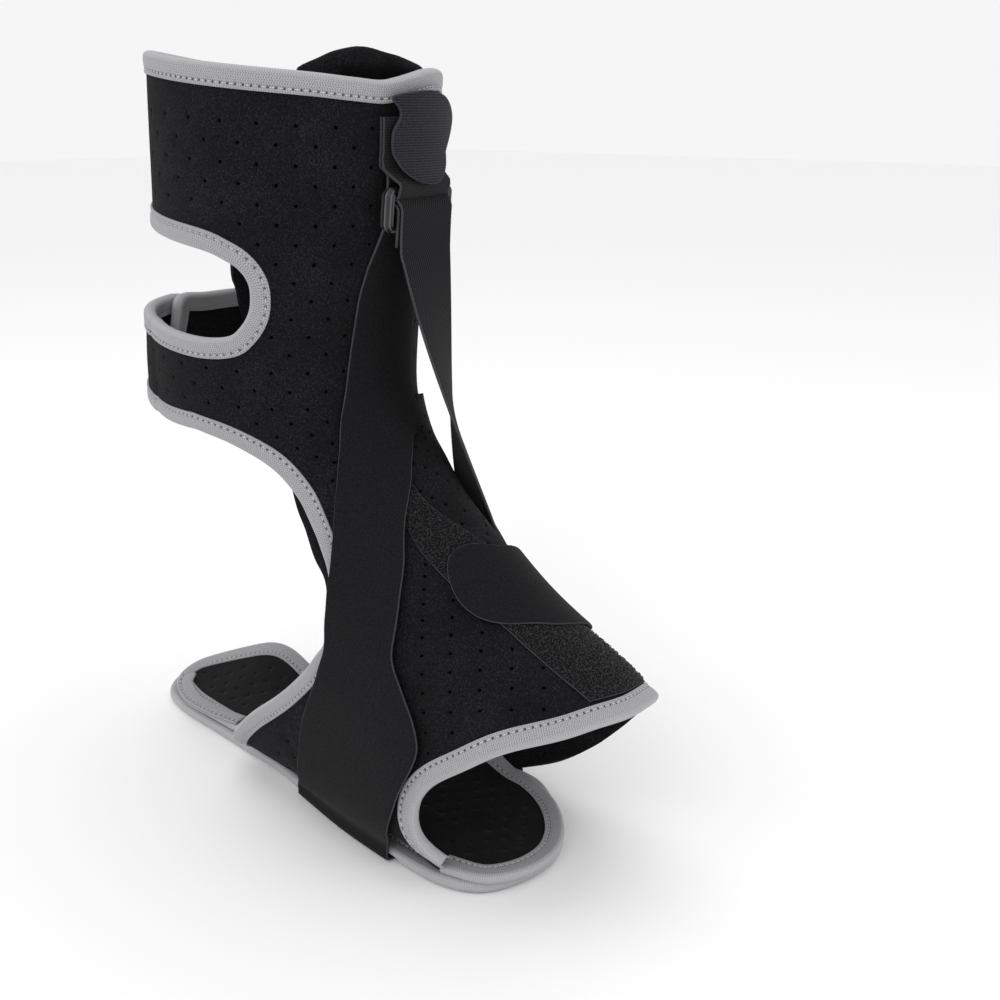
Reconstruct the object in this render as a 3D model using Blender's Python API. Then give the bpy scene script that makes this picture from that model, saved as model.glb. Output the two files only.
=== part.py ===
import bpy
import bmesh
import math
from bisect import bisect_right
from mathutils import Vector
from mathutils.geometry import delaunay_2d_cdt

for ob in list(bpy.data.objects):
    bpy.data.objects.remove(ob, do_unlink=True)

# main sizes, metres
SOLE_LENGTH = 0.278
SOLE_WIDTH = 0.098
LEG_HEIGHT = 0.345
LEG_HALF = 0.059
# layers, metres
CLOTH = 0.0035
TAPE = 0.0009
TAPE_WIDTH = 0.0098
SLACK = 0.0006
STRAP = 0.0016
STRAP_HALF = 0.0175
LAYER_GAP = 0.0005
# supports, metres
STAY_WIDTH = 0.020
STAY_THICK = 0.0025
PLATE_LENGTH = 0.130
PLATE_WIDTH = 0.046
PLATE_THICK = 0.0020
PLATE_CORNER = 0.012
# sole, metres
PAD_EDGE = 0.0035
PAD_RAISE = 0.0013
EDGE_RISE = 0.0015
STRAP_RECESS = 0.0021
PANEL_THICK = 0.0026
LOBE_BASE = 0.00905
HEEL_CURL = 0.022
# ring, metres
RING_WIDTH = 0.0446
RING_SPAN = 0.015
RING_BAR = 0.0020
RING_OUT = 0.0082
# mesh pitch, metres
NET = 0.0140
STATION = 0.0125

# closed sections from the top rim to the toes:
# front x and back x in SOLE_LENGTH, heights in LEG_HEIGHT, half width in LEG_HALF,
# and how square the back half is
SECTIONS = [
    # name, front_x, front_z, back_x, back_z, half, square
    ('rim', 0.2194, 0.9754, -0.2194, 1.0159, 1.0000, 2.0),
    ('calf', 0.2122, 0.8812, -0.2338, 0.9043, 1.0000, 2.0),
    ('band_low', 0.1978, 0.7855, -0.2482, 0.8000, 0.9831, 2.0),
    ('notch', 0.1763, 0.7101, -0.2698, 0.7217, 0.9661, 2.0),
    ('lower_top', 0.1655, 0.6377, -0.2914, 0.6464, 0.9492, 2.0),
    ('lower_low', 0.1691, 0.5710, -0.3094, 0.5797, 0.9153, 2.0),
    ('ankle', 0.1978, 0.5275, -0.3094, 0.4638, 0.8644, 2.2),
    ('hinge', 0.2338, 0.5043, -0.3094, 0.3188, 0.8305, 2.5),
    ('instep', 0.2806, 0.4812, -0.3165, 0.1739, 0.8136, 3.0),
    ('heel', 0.3417, 0.4464, -0.3165, 0.0406, 0.7966, 4.0),
    ('arch', 0.4173, 0.4029, -0.0719, 0.0296, 0.7966, 4.0),
    ('mid', 0.4928, 0.3565, 0.1079, 0.0296, 0.8305, 4.0),
    ('ball', 0.5647, 0.3130, 0.2518, 0.0296, 0.8644, 4.0),
    ('toe', 0.6331, 0.2725, 0.3669, 0.0296, 0.8814, 4.0),
    ('beyond', 0.7014, 0.2319, 0.4820, 0.0296, 0.8983, 4.0),
]

# outlines on the boot: (degrees round from the front, near side positive; section number)
RAW_RIM = [(-171.0, 0.0), (-150, 0.0), (-128.5, 0.0)]
TOP_RIM = [(-128.5, 0.0), (-100, 0.0), (-60, 0.0), (-30, 0.0), (-8, 0.03), (8, 0.07),
           (20, 0.03), (40, 0.0), (80, 0.0), (120, 0.0), (170, 0.0), (205, 0.0)]
TONGUE_END = [(205, 0.0), (219, 0.05), (227, 0.25), (229, 0.60), (229, 1.35),
              (227, 1.70), (219, 1.90), (205, 1.95)]
NOTCH = [(205, 1.95), (160, 1.95), (132, 1.97), (106.5, 2.03), (79.2, 2.12), (67.8, 2.25),
         (61.5, 2.39), (57.4, 2.62), (56.2, 2.90), (57.0, 3.16), (60.4, 3.41), (65.8, 3.60),
         (78.4, 3.68), (96.6, 3.66), (115, 3.62), (140, 3.57), (164, 3.55)]
LOW_TONGUE_END = [(164, 3.55), (172, 3.63), (177, 3.90), (178.5, 4.30), (177, 4.75),
                  (172, 5.08), (163, 5.20)]
NEAR_BACK = [(163, 5.20), (135, 5.32), (111, 5.40), (92.3, 5.42), (85.3, 5.44), (73.7, 5.58),
             (64.5, 5.83), (58.2, 6.14), (54.6, 6.53), (52.3, 7.11), (52.0, 7.66),
             (52.4, 8.23), (53.4, 8.73), (56.7, 9.06), (64.4, 9.44), (72.0, 9.68),
             (77.8, 9.74), (85.4, 9.80), (97.5, 9.82), (106.5, 9.80), (115.7, 9.76),
             (126.1, 9.75), (135.0, 9.76), (143.9, 9.78)]
NEAR_FOOT_BACK = [(143.9, 9.78), (149.6, 9.95), (151.1, 10.30), (151.1, 11.00), (151.1, 11.70)]
NEAR_FOOT_FRONT = [(151.1, 11.70), (151.1, 12.15), (147.6, 12.45), (140.7, 12.75),
                   (134.5, 13.00), (131.0, 13.30), (129.5, 13.60)]
TOE_RIM = [(129.5, 13.60), (126.0, 13.30), (120.8, 13.00), (111.5, 12.70), (99.8, 12.50),
           (86.7, 12.47), (71.1, 12.62), (53.9, 12.81), (32.4, 13.21), (16.3, 13.44),
           (-3.2, 13.66), (-25.0, 13.70), (-48.0, 13.65)]
FAR_FRONT = [(-48.0, 13.65), (-80.0, 13.59), (-97.5, 13.55), (-115.7, 13.46),
             (-129.9, 13.20), (-140.1, 12.79), (-147.9, 12.40), (-151.1, 12.10)]
FAR_FOOT_FRONT = [(-151.1, 12.10), (-151.1, 11.70)]
FAR_FOOT_BACK = [(-151.1, 11.70), (-151.1, 11.00), (-151.1, 10.30), (-148.9, 9.95)]
FAR_BACK = [(-148.9, 9.95), (-142.8, 9.80), (-129.9, 9.62), (-122.4, 9.35), (-119.3, 8.90),
            (-119.6, 8.38), (-124.6, 7.94), (-128.4, 7.47), (-132.6, 7.07), (-138.7, 6.20),
            (-148.7, 5.20), (-157.0, 4.29), (-160.6, 3.92), (-163.6, 3.50), (-167.3, 3.06),
            (-170.0, 1.50), (-171.0, 0.0)]
# seam between the leg half and the forefoot half, under the lifting strap
SEAM = [(151.1, 11.70), (137.5, 11.70), (127.2, 11.68), (112.8, 11.50), (97, 11.35),
        (85.0, 11.15), (70.0, 10.65), (57.0, 9.85), (47.0, 9.30), (38.0, 8.65), (27.0, 7.65),
        (14.0, 6.30), (5.0, 5.60), (-8.0, 5.20), (-30.0, 5.10), (-44.0, 5.35), (-51.0, 6.20),
        (-50.0, 7.50), (-49.0, 8.80), (-50.5, 9.40), (-57.0, 9.85), (-70.0, 10.65),
        (-85.0, 11.15), (-97, 11.35), (-112.8, 11.50), (-127.2, 11.68), (-137.5, 11.70),
        (-151.1, 11.70)]
SEAM_SHIFT = (0.50, 0.030)
# the lifting strap, edge pairs going up
STRAP_BACK = [(142.8, 10.75), (131.5, 10.72), (117.4, 10.50), (102.9, 10.22), (86.0, 10.02),
              (79.4, 9.92), (72.0, 9.76), (65.0, 9.50), (58.4, 9.21), (52.0, 8.80),
              (47.0, 8.30), (42.0, 7.75), (36.0, 6.96), (30.0, 6.10), (25.8, 5.47),
              (21.0, 4.80), (18.6, 4.32), (15.7, 3.40), (14.8, 2.75)]
STRAP_FRONT = [(142.8, 12.60), (130.4, 12.60), (115.7, 12.45), (100.6, 12.25), (80.0, 12.00),
               (71.0, 11.62), (65.0, 11.10), (59.0, 10.55), (51.0, 10.20), (43.0, 9.85),
               (32.0, 9.34), (22.0, 8.60), (10.0, 7.75), (-1.0, 6.70), (-10.0, 5.85),
               (-16.0, 5.10), (-19.0, 4.40), (-19.0, 3.40), (-20.0, 2.75)]
FAR_ROWS = 10
LOOP_STRIP = [(19.0, 8.55), (27.4, 9.14), (25.2, 9.35), (22.3, 9.90), (18.5, 10.60),
              (14.8, 11.20), (13.2, 12.0), (12.6, 12.88), (-8, 13.02), (-34, 13.02),
              (-31, 12.2), (-20, 11.3), (-8, 10.3), (4, 9.5), (12, 9.0)]
FOOT_TAB = [(28.6, 10.15), (27.0, 10.55), (21.5, 10.95), (12, 11.22), (0, 11.40), (-14, 11.52),
            (-30, 11.58), (-37, 11.55), (-38.2, 11.2), (-38.2, 10.4), (-37, 9.98),
            (-28, 9.80), (-14, 9.68), (0, 9.62), (11, 9.56), (20, 9.62), (26.0, 9.82)]
LOW_STRAP_TOP = [(232, 3.62), (215, 3.60), (200, 3.58), (180, 3.52), (166, 3.45)]
LOW_STRAP_END = [(166, 3.45), (159, 3.47), (156, 3.62), (155.5, 3.80), (153, 4.2), (150.5, 4.6),
                 (149.5, 4.85), (151, 5.05), (157, 5.12)]
LOW_STRAP_LOW = [(157, 5.12), (180, 5.15), (200, 5.18), (215, 5.20), (232, 5.20)]

# sole outlines: x in SOLE_LENGTH, y in SOLE_WIDTH
PAD = [(-0.4442, -0.0714), (-0.4353, -0.1430), (-0.4137, -0.1990), (-0.3800, -0.2320),
       (-0.3237, -0.2602),
       (-0.2158, -0.2755), (-0.1187, -0.2959), (-0.0180, -0.3163), (0.1079, -0.3776),
       (0.2158, -0.4286), (0.3453, -0.4592), (0.4388, -0.4541), (0.5000, -0.3776),
       (0.5360, -0.2245), (0.5468, -0.0306), (0.5288, 0.1224), (0.4928, 0.2551),
       (0.4281, 0.4082), (0.3705, 0.4694), (0.3129, 0.4490), (0.2158, 0.4082),
       (0.1079, 0.3673), (0.0000, 0.3469), (-0.1079, 0.3469), (-0.1799, 0.3571),
       (-0.2374, 0.3367), (-0.3022, 0.2857), (-0.3633, 0.2041), (-0.4101, 0.1071),
       (-0.4371, 0.0153)]
PANEL_HEEL = [(-0.1400, -0.2700), (-0.1727, -0.2653), (-0.2374, -0.2602), (-0.3165, -0.2449),
              (-0.3669, -0.2143), (-0.3975, -0.1786), (-0.4191, -0.1276), (-0.4281, -0.0561),
              (-0.4209, 0.0255), (-0.3939, 0.1020), (-0.3489, 0.1888), (-0.2950, 0.2653), (-0.2302, 0.3163),
              (-0.1511, 0.3265), (-0.1150, 0.3180)]
PANEL_FAR = [(-0.1150, 0.3180), (-0.0850, 0.2750), (-0.0400, 0.2600), (0.0719, 0.2600),
             (0.2158, 0.2750), (0.3200, 0.3050), (0.3640, 0.3470)]
PANEL_BALL = [(0.3640, 0.3470), (0.3830, 0.3440), (0.4245, 0.3061),
              (0.4712, 0.2245), (0.5144, 0.1020), (0.5396, -0.0510), (0.5342, -0.2245),
              (0.5036, -0.3776), (0.4388, -0.4439), (0.3880, -0.4360)]
PANEL_NEAR = [(0.3880, -0.4360), (0.3640, -0.3850), (0.3300, -0.3250), (0.2734, -0.2950),
              (0.1439, -0.2800), (0.0000, -0.2600), (-0.0900, -0.2400), (-0.1400, -0.2700)]
RECESS_BACK = 0.0432
RECESS_FRONT = 0.3600
RECESS_RAMP = 0.0200


def smooth(t):
    t = min(max(t, 0.0), 1.0)
    return t * t * (3 - 2 * t)


def blend(a, b, t):
    return a + (b - a) * t


def section(v):
    cols = []
    last = len(SECTIONS) - 1
    base = min(max(v, 0.0), last - 1e-6)
    i = int(base)
    t = base - i
    for k in range(1, 7):
        p1, p2 = SECTIONS[i][k], SECTIONS[i + 1][k]
        p0 = SECTIONS[i - 1][k] if i > 0 else 2 * p1 - p2
        p3 = SECTIONS[i + 2][k] if i + 2 <= last else 2 * p2 - p1
        value = 0.5 * (2 * p1 + (p2 - p0) * t + (2 * p0 - 5 * p1 + 4 * p2 - p3) * t * t
                       + (3 * p1 - p0 - 3 * p2 + p3) * t ** 3)
        if v < 0:
            value += (p2 - p1) * v
        cols.append(value)
    return cols


def skin(u, v):
    fx, fz, bx, bz, half, square = section(v)
    c, s = math.cos(math.radians(u)), math.sin(math.radians(u))
    m = square if c < 0 else 2.0
    r = (abs(c) ** m + abs(s) ** m) ** (-1.0 / m)
    x = (fx + bx) / 2 + (fx - bx) / 2 * c * r
    z = (fz + bz) / 2 + (fz - bz) / 2 * c * r
    return Vector((x * SOLE_LENGTH, -half * LEG_HALF * s * r, z * LEG_HEIGHT))


def outward(u, v):
    v = min(v, 13.97)
    a = skin(u + 0.5, v) - skin(u - 0.5, v)
    b = skin(u, v + 0.02) - skin(u, v - 0.02)
    n = a.cross(b).normalized()
    fx, fz, bx, bz = section(v)[:4]
    mid = Vector(((fx + bx) / 2 * SOLE_LENGTH, 0, (fz + bz) / 2 * LEG_HEIGHT))
    return -n if n.dot(skin(u, v) - mid) < 0 else n


def on_boot(u, v, h):
    return skin(u, v) + outward(u, v) * h


def boot_step():
    return 0.5, 0.02


def heel_curl(x, y):
    across = max((y / SOLE_WIDTH + 0.255) / 0.561, 0.0) ** 2
    along = smooth((-x / SOLE_LENGTH - 0.080) / 0.220)
    return HEEL_CURL * across * along


def pad_at(x, y, h):
    return Vector((x, y, heel_curl(x, y) + h))


def floor_inside(x, y):
    _, _, front_z, _, back_z, half, square = SECTIONS[11]
    rise = 1 - (1 - min(abs(y) / (half * LEG_HALF), 0.95) ** square) ** (1 / square)
    return LEG_HEIGHT * (back_z + rise * (front_z - back_z) / 2)


def panel_base(x, y):
    front = smooth((x / SOLE_LENGTH - 0.300) / 0.070)
    back = smooth((-x / SOLE_LENGTH - 0.108) / 0.058)
    lobe = max(front, back)
    dish = smooth((abs(y) / SOLE_WIDTH - 0.15) / 0.07)
    middle = blend(LOBE_BASE, floor_inside(x, y) + LAYER_GAP, dish)
    return blend(middle, LOBE_BASE, lobe) + heel_curl(x, y)


def panel_at(x, y, h):
    return Vector((x, y, panel_base(x, y) + h))


def material(name, colour, rough, metal=0.0):
    m = bpy.data.materials.new(name)
    m.use_nodes = True
    bsdf = m.node_tree.nodes['Principled BSDF']
    bsdf.inputs['Base Color'].default_value = (*colour, 1)
    bsdf.inputs['Roughness'].default_value = rough
    bsdf.inputs['Metallic'].default_value = metal
    m.diffuse_color = (*colour, 1)
    return m


def finish(name, verts, faces, mat, rounded=True):
    me = bpy.data.meshes.new(name)
    me.from_pydata([tuple(p) for p in verts], [], faces)
    me.validate()
    ob = bpy.data.objects.new(name, me)
    bpy.context.collection.objects.link(ob)
    me.materials.append(mat)
    bm = bmesh.new()
    bm.from_mesh(me)
    bmesh.ops.triangulate(bm, faces=bm.faces, quad_method='SHORT_EDGE')
    bmesh.ops.recalc_face_normals(bm, faces=bm.faces)
    bm.to_mesh(me)
    bm.free()
    if rounded:
        for poly in me.polygons:
            poly.use_smooth = True
    return ob


def curve(points, place, pitch, closed=False, h=0.0):
    n = len(points)
    spans = n if closed else n - 1
    fine = []
    for i in range(spans):
        if closed:
            q = [points[(i + k) % n] for k in (-1, 0, 1, 2)]
        else:
            q = [points[min(max(i + k, 0), n - 1)] for k in (-1, 0, 1, 2)]
        for j in range(10):
            t = j / 10
            fine.append(tuple(0.5 * (2 * q[1][k] + (q[2][k] - q[0][k]) * t
                              + (2 * q[0][k] - 5 * q[1][k] + 4 * q[2][k] - q[3][k]) * t * t
                              + (3 * q[1][k] - q[0][k] - 3 * q[2][k] + q[3][k]) * t ** 3)
                              for k in range(2)))
    fine.append(tuple(points[0] if closed else points[-1]))
    at = [0.0]
    spots = [place(p[0], p[1], h) for p in fine]
    for a, b in zip(spots, spots[1:]):
        at.append(at[-1] + (b - a).length)
    count = max(2, round(at[-1] / pitch)) if not closed else max(8, round(at[-1] / pitch))
    out = []
    for k in range(count + (0 if closed else 1)):
        want = at[-1] * k / count
        i = min(max(bisect_right(at, want) - 1, 0), len(at) - 2)
        t = (want - at[i]) / max(at[i + 1] - at[i], 1e-9)
        out.append((blend(fine[i][0], fine[i + 1][0], t), blend(fine[i][1], fine[i + 1][1], t)))
    return out


def chain(segments, place, pitch, h=0.0):
    out = []
    for seg in segments:
        out += curve(seg, place, pitch, h=h)[:-1]
    return out


def inside(p, loop):
    hit = False
    n = len(loop)
    for i in range(n):
        (x1, y1), (x2, y2) = loop[i], loop[(i + 1) % n]
        if (y1 > p[1]) != (y2 > p[1]) and p[0] < (x2 - x1) * (p[1] - y1) / (y2 - y1) + x1:
            hit = not hit
    return hit


def edge_distance(p, loop):
    best = 1e9
    n = len(loop)
    for i in range(n):
        (x1, y1), (x2, y2) = loop[i], loop[(i + 1) % n]
        dx, dy = x2 - x1, y2 - y1
        t = ((p[0] - x1) * dx + (p[1] - y1) * dy) / max(dx * dx + dy * dy, 1e-18)
        t = min(max(t, 0), 1)
        best = min(best, math.hypot(p[0] - x1 - t * dx, p[1] - y1 - t * dy))
    return best


def net(loop, scale, pitch, extra=(), clear=0.55):
    flat = [(a * scale[0], b * scale[1]) for a, b in loop]
    more = [(a * scale[0], b * scale[1]) for a, b in extra]
    xs, ys = [p[0] for p in flat], [p[1] for p in flat]
    points = list(flat)
    for p in more:
        points.append(p)
    row, y = 0, min(ys) + pitch * 0.5
    while y < max(ys):
        x = min(xs) + (pitch * 0.5 if row % 2 else 0)
        while x < max(xs):
            p = (x, y)
            if inside(p, flat) and edge_distance(p, flat) > clear * pitch:
                if all(math.hypot(p[0] - q[0], p[1] - q[1]) > clear * pitch for q in more):
                    points.append(p)
            x += pitch
        row += 1
        y += pitch * 0.866
    edges = [(i, (i + 1) % len(flat)) for i in range(len(flat))]
    verts, _, faces, _, _, _ = delaunay_2d_cdt([Vector(p) for p in points], edges, [], 1, 1e-7)
    return [(v.x / scale[0], v.y / scale[1]) for v in verts], [list(f) for f in faces]


def slab(name, loop, scale, pitch, place, low, high, mat, extra=()):
    flat, faces = net(loop, scale, pitch, extra)
    verts = [place(a, b, low(a, b)) for a, b in flat]
    verts += [place(a, b, high(a, b)) for a, b in flat]
    n = len(flat)
    out = [f[::-1] for f in faces] + [[i + n for i in f] for f in faces]
    seen = {}
    for f in faces:
        for i, a in enumerate(f):
            b = f[(i + 1) % len(f)]
            seen[(a, b)] = True
    for a, b in seen:
        if (b, a) not in seen:
            out.append([a, b, b + n, a + n])
    return finish(name, verts, out, mat)


def inward(path, i, place, steps, mid, side, closed):
    ea, eb = steps
    a, b = path[i]
    n = len(path)
    if closed:
        p0, p1 = path[i - 1], path[(i + 1) % n]
    else:
        p0, p1 = path[max(i - 1, 0)], path[min(i + 1, n - 1)]
    run = (place(p1[0], p1[1], mid) - place(p0[0], p0[1], mid)).normalized()
    ja = (place(a + ea, b, mid) - place(a - ea, b, mid)) / (2 * ea)
    jb = (place(a, b + eb, mid) - place(a, b - eb, mid)) / (2 * eb)
    up = ja.cross(jb).normalized()
    into = up.cross(run).normalized() * side
    aa, ab, bb = ja.dot(ja), ja.dot(jb), jb.dot(jb)
    da, db = ja.dot(into), jb.dot(into)
    det = aa * bb - ab * ab
    return (bb * da - ab * db) / det, (aa * db - ab * da) / det


# cloth points right under the inner edge of a tape, so both bend alike
def under_tape(path, place, steps, side, width=TAPE_WIDTH, closed=False, mid=CLOTH / 2):
    out = []
    for i, (a, b) in enumerate(path):
        ga, gb = inward(path, i, place, steps, mid, side, closed)
        out.append((a + ga * width, b + gb * width))
    return out


def tape(name, path, place, steps, low, high, side, mat, closed=False, width=TAPE_WIDTH):
    rows = []
    n = len(path)
    for i, (a, b) in enumerate(path):
        mid = (low(a, b) + high(a, b)) / 2
        ga, gb = inward(path, i, place, steps, mid, side, closed)
        g, w, tb = SLACK, width, TAPE

        def spot(s, h, part):
            aa2, bb2 = a + ga * s, b + gb * s
            base = low(aa2, bb2) if part == 'low' else high(aa2, bb2)
            return place(aa2, bb2, base + h)

        rows.append([spot(w, g, 'high'), spot(-g, g, 'high'), spot(-g, -g, 'low'),
                     spot(w, -g, 'low'), spot(w, -g - tb, 'low'),
                     spot(-g - tb, -g - 0.4 * tb, 'low'),
                     spot(-g - tb, g + 0.4 * tb, 'high'), spot(w, g + tb, 'high')])
    verts = [p for r in rows for p in r]
    k = len(rows[0])
    faces = []
    for i in range(n if closed else n - 1):
        j = (i + 1) % n
        for c in range(k):
            d = (c + 1) % k
            faces.append([i * k + c, i * k + d, j * k + d, j * k + c])
    if not closed:
        for base, flip in ((0, False), ((n - 1) * k, True)):
            for quad in ((0, 1, 6, 7), (1, 2, 5, 6), (2, 3, 4, 5)):
                f = [base + q for q in quad]
                faces.append(f[::-1] if flip else f)
    return finish(name, verts, faces, mat)


def ribbon(name, rows, thick, mat, sign=1):
    m, k = len(rows), len(rows[0])
    verts = []
    for i in range(m):
        for j in range(k):
            along = rows[min(i + 1, m - 1)][j] - rows[max(i - 1, 0)][j]
            across = rows[i][min(j + 1, k - 1)] - rows[i][max(j - 1, 0)]
            n = along.cross(across).normalized() * sign
            verts.append(rows[i][j])
            verts.append(rows[i][j] + n * thick)
    faces = []

    def at(i, j, s):
        return (i * k + j) * 2 + s

    for i in range(m - 1):
        for j in range(k - 1):
            faces.append([at(i, j, 0), at(i + 1, j, 0), at(i + 1, j + 1, 0), at(i, j + 1, 0)])
            faces.append([at(i, j, 1), at(i, j + 1, 1), at(i + 1, j + 1, 1), at(i + 1, j, 1)])
        for j in (0, k - 1):
            faces.append([at(i, j, 0), at(i, j, 1), at(i + 1, j, 1), at(i + 1, j, 0)])
    for i in (0, m - 1):
        for j in range(k - 1):
            faces.append([at(i, j, 0), at(i, j + 1, 0), at(i, j + 1, 1), at(i, j, 1)])
    return finish(name, verts, faces, mat)


black = material('black_neoprene', (0.030, 0.030, 0.033), 0.9)
plush = material('black_plush', (0.022, 0.022, 0.024), 0.95)
grey = material('grey_tape', (0.42, 0.42, 0.43), 0.85)
loops = material('black_loops', (0.015, 0.015, 0.016), 1.0)
webbing = material('black_webbing', (0.040, 0.040, 0.045), 0.8)
plastic = material('black_plastic', (0.02, 0.02, 0.022), 0.35)
metal = material('brushed_aluminium', (0.80, 0.80, 0.81), 0.35, 1.0)

BOOT = (0.00105, 0.0262)


# where the cloth leaves the boot shape: out over the far panel, in under the near tongues
def leg_lift(u, v):
    if u > 120 and v < 2.75:
        return 0.0060 * smooth((u - 158) / 56)
    if u > 120 and v < 6.5:
        return 0.0050 * smooth((u - 110) / 42)
    if u < -120 and v < 6.0:
        return -0.0026 * smooth((-u - 140) / 18) * smooth((6.0 - v) / 1.0)
    return 0.0


def foot_bump(u, v):
    around = smooth((14 - u) / 14) * smooth((u + 76) / 16)
    return 0.0024 * around * smooth((8.5 - v) / 1.5) * smooth((v - 4.4) / 0.8)


def leg_low(u, v):
    return leg_lift(u, v)


def leg_high(u, v):
    return leg_lift(u, v) + CLOTH


def foot_low(u, v):
    return foot_bump(u, v)


def foot_high(u, v):
    return foot_bump(u, v) + CLOTH


def shifted(points, way):
    out = []
    for u, v in points:
        k = smooth(abs(u) / 12) if abs(u) < 12 else 1.0
        out.append((u + way * math.copysign(SEAM_SHIFT[0] * k, u), v - way * SEAM_SHIFT[1]))
    return out


leg_seam = shifted(SEAM, 0.5)
foot_seam = shifted(SEAM, -0.5)
near_back_low = NEAR_FOOT_BACK[:-1] + [leg_seam[0]]
far_back_low = [leg_seam[-1]] + FAR_FOOT_BACK[1:]
leg_path = chain([TOP_RIM, TONGUE_END, NOTCH, LOW_TONGUE_END, NEAR_BACK], on_boot, STATION,
                 CLOTH / 2)
leg_loop = leg_path + chain([near_back_low, leg_seam, far_back_low, FAR_BACK, RAW_RIM], on_boot,
                            STATION, CLOTH / 2)
tight = [(side * u, 9.9 + 0.55 * k + (0.27 if i % 2 else 0)) for side in (1, -1)
         for i, u in enumerate((108, 120, 131, 141)) for k in range(7)]


def kept(points, loop, scale, clear):
    flat = [(a * scale[0], b * scale[1]) for a, b in loop]
    return [p for p in points if inside((p[0] * scale[0], p[1] * scale[1]), flat)
            and edge_distance((p[0] * scale[0], p[1] * scale[1]), flat) > clear]


def spread(points, taken, scale, gap):
    return taken + [p for p in points if all(
        math.hypot((p[0] - q[0]) * scale[0], (p[1] - q[1]) * scale[1]) > gap for q in taken)]


def cloth_points(path, loop, more=()):
    close = kept(under_tape(path, on_boot, boot_step(), 1), loop, BOOT, 0.003)
    return spread(kept(more, loop, BOOT, 0.004), close, BOOT, 0.005)


slab('leg_wrap', leg_loop, BOOT, NET, on_boot, leg_low, leg_high, black,
     cloth_points(leg_path, leg_loop, tight))

near_front_low = [foot_seam[0]] + NEAR_FOOT_FRONT[1:]
far_front_low = FAR_FOOT_FRONT[:-1] + [foot_seam[-1]]
foot_loop = chain([near_front_low, TOE_RIM, FAR_FRONT, far_front_low, foot_seam[::-1]],
                  on_boot, STATION, CLOTH / 2)
toe_path = chain([TOE_RIM], on_boot, STATION, CLOTH / 2)
slab('foot_wrap', foot_loop, BOOT, NET, on_boot, foot_low, foot_high, black,
     cloth_points(toe_path, foot_loop, tight))

# grey binding tapes
tape('edge_binding', leg_path, on_boot, boot_step(), leg_low, leg_high, 1, grey)
tape('toe_binding', toe_path[1:] + [TOE_RIM[-1]], on_boot, boot_step(), foot_low, foot_high, 1,
     grey)


# lower strap from the far side, inside the near lower tongue
def low_strap_lift(u, v):
    return -0.0028 + 0.0088 * smooth((u - 170) / 46)


def low_strap_low(u, v):
    return low_strap_lift(u, v)


def low_strap_high(u, v):
    return low_strap_lift(u, v) + CLOTH


segs = [LOW_STRAP_TOP, LOW_STRAP_END, LOW_STRAP_LOW]
path = chain(segs, on_boot, STATION, CLOTH / 2) + [LOW_STRAP_LOW[-1]]
low_loop = path + curve([LOW_STRAP_LOW[-1], LOW_STRAP_TOP[0]], on_boot, STATION)[1:-1]
close = kept(under_tape(path, on_boot, boot_step(), -1), low_loop, BOOT, 0.003)
slab('lower_strap', low_loop, BOOT, NET, on_boot, low_strap_low, low_strap_high, black, close)
tape('lower_binding', path, on_boot, boot_step(), low_strap_low, low_strap_high, -1, grey)

# sole: bound pad below, plate, bound panel with heel and ball lobes above
SOLE = (1.0, 1.0)


def sized(points):
    return [(x * SOLE_LENGTH, y * SOLE_WIDTH) for x, y in points]


# closer stations where the heel edge curls up
def eased(points):
    last = len(points) - 1
    return [p for i, p in enumerate(points)
            if i % 2 == 0 or i == last or (p[0] < -0.018 and p[1] > 0.004)]


pad_loop = eased(curve(sized(PAD), pad_at, STATION / 2, closed=True))
pad_fine = curve(sized(PAD), pad_at, STATION / 3, closed=True)


def with_cuts(loop, cuts):
    out = []
    n = len(loop)
    for i in range(n):
        (x0, y0), (x1, y1) = loop[i], loop[(i + 1) % n]
        out.append(loop[i])
        hits = [c for c in cuts if (x0 - c) * (x1 - c) < 0]
        for c in sorted(hits, key=lambda c: abs(c - x0)):
            out.append((c, y0 + (y1 - y0) * (c - x0) / (x1 - x0)))
    kept_points = []
    for p in out:
        near_cut = [c for c in cuts if abs(p[0] - c) < 0.0025 and abs(p[0] - c) > 1e-7]
        if not near_cut:
            kept_points.append(p)
    return kept_points


cuts = [c * SOLE_LENGTH for c in (RECESS_BACK - 0.001, RECESS_BACK + RECESS_RAMP + 0.002,
                                  RECESS_FRONT - RECESS_RAMP - 0.002, RECESS_FRONT + 0.001)]
pad_loop = with_cuts(pad_loop, cuts)


def recess(x):
    x /= SOLE_LENGTH
    rise = smooth((x - RECESS_BACK) / RECESS_RAMP) * smooth((RECESS_FRONT - x) / RECESS_RAMP)
    return STRAP_RECESS * rise


def pad_low(x, y):
    d = edge_distance((x, y), pad_fine) if inside((x, y), pad_fine) else 0.0
    return recess(x) + EDGE_RISE * (1 - smooth((d - TAPE_WIDTH - 0.0004) / 0.0030))


def pad_high(x, y):
    d = edge_distance((x, y), pad_fine) if inside((x, y), pad_fine) else 0.0
    flat = smooth((d - TAPE_WIDTH - 0.0004) / 0.0030)
    along = smooth((x + 0.036) / 0.010) * smooth((0.124 - x) / 0.010)
    across = smooth((0.0228 - abs(y)) / 0.004)
    return EDGE_RISE + PAD_EDGE + PAD_RAISE * flat * along * across


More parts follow.
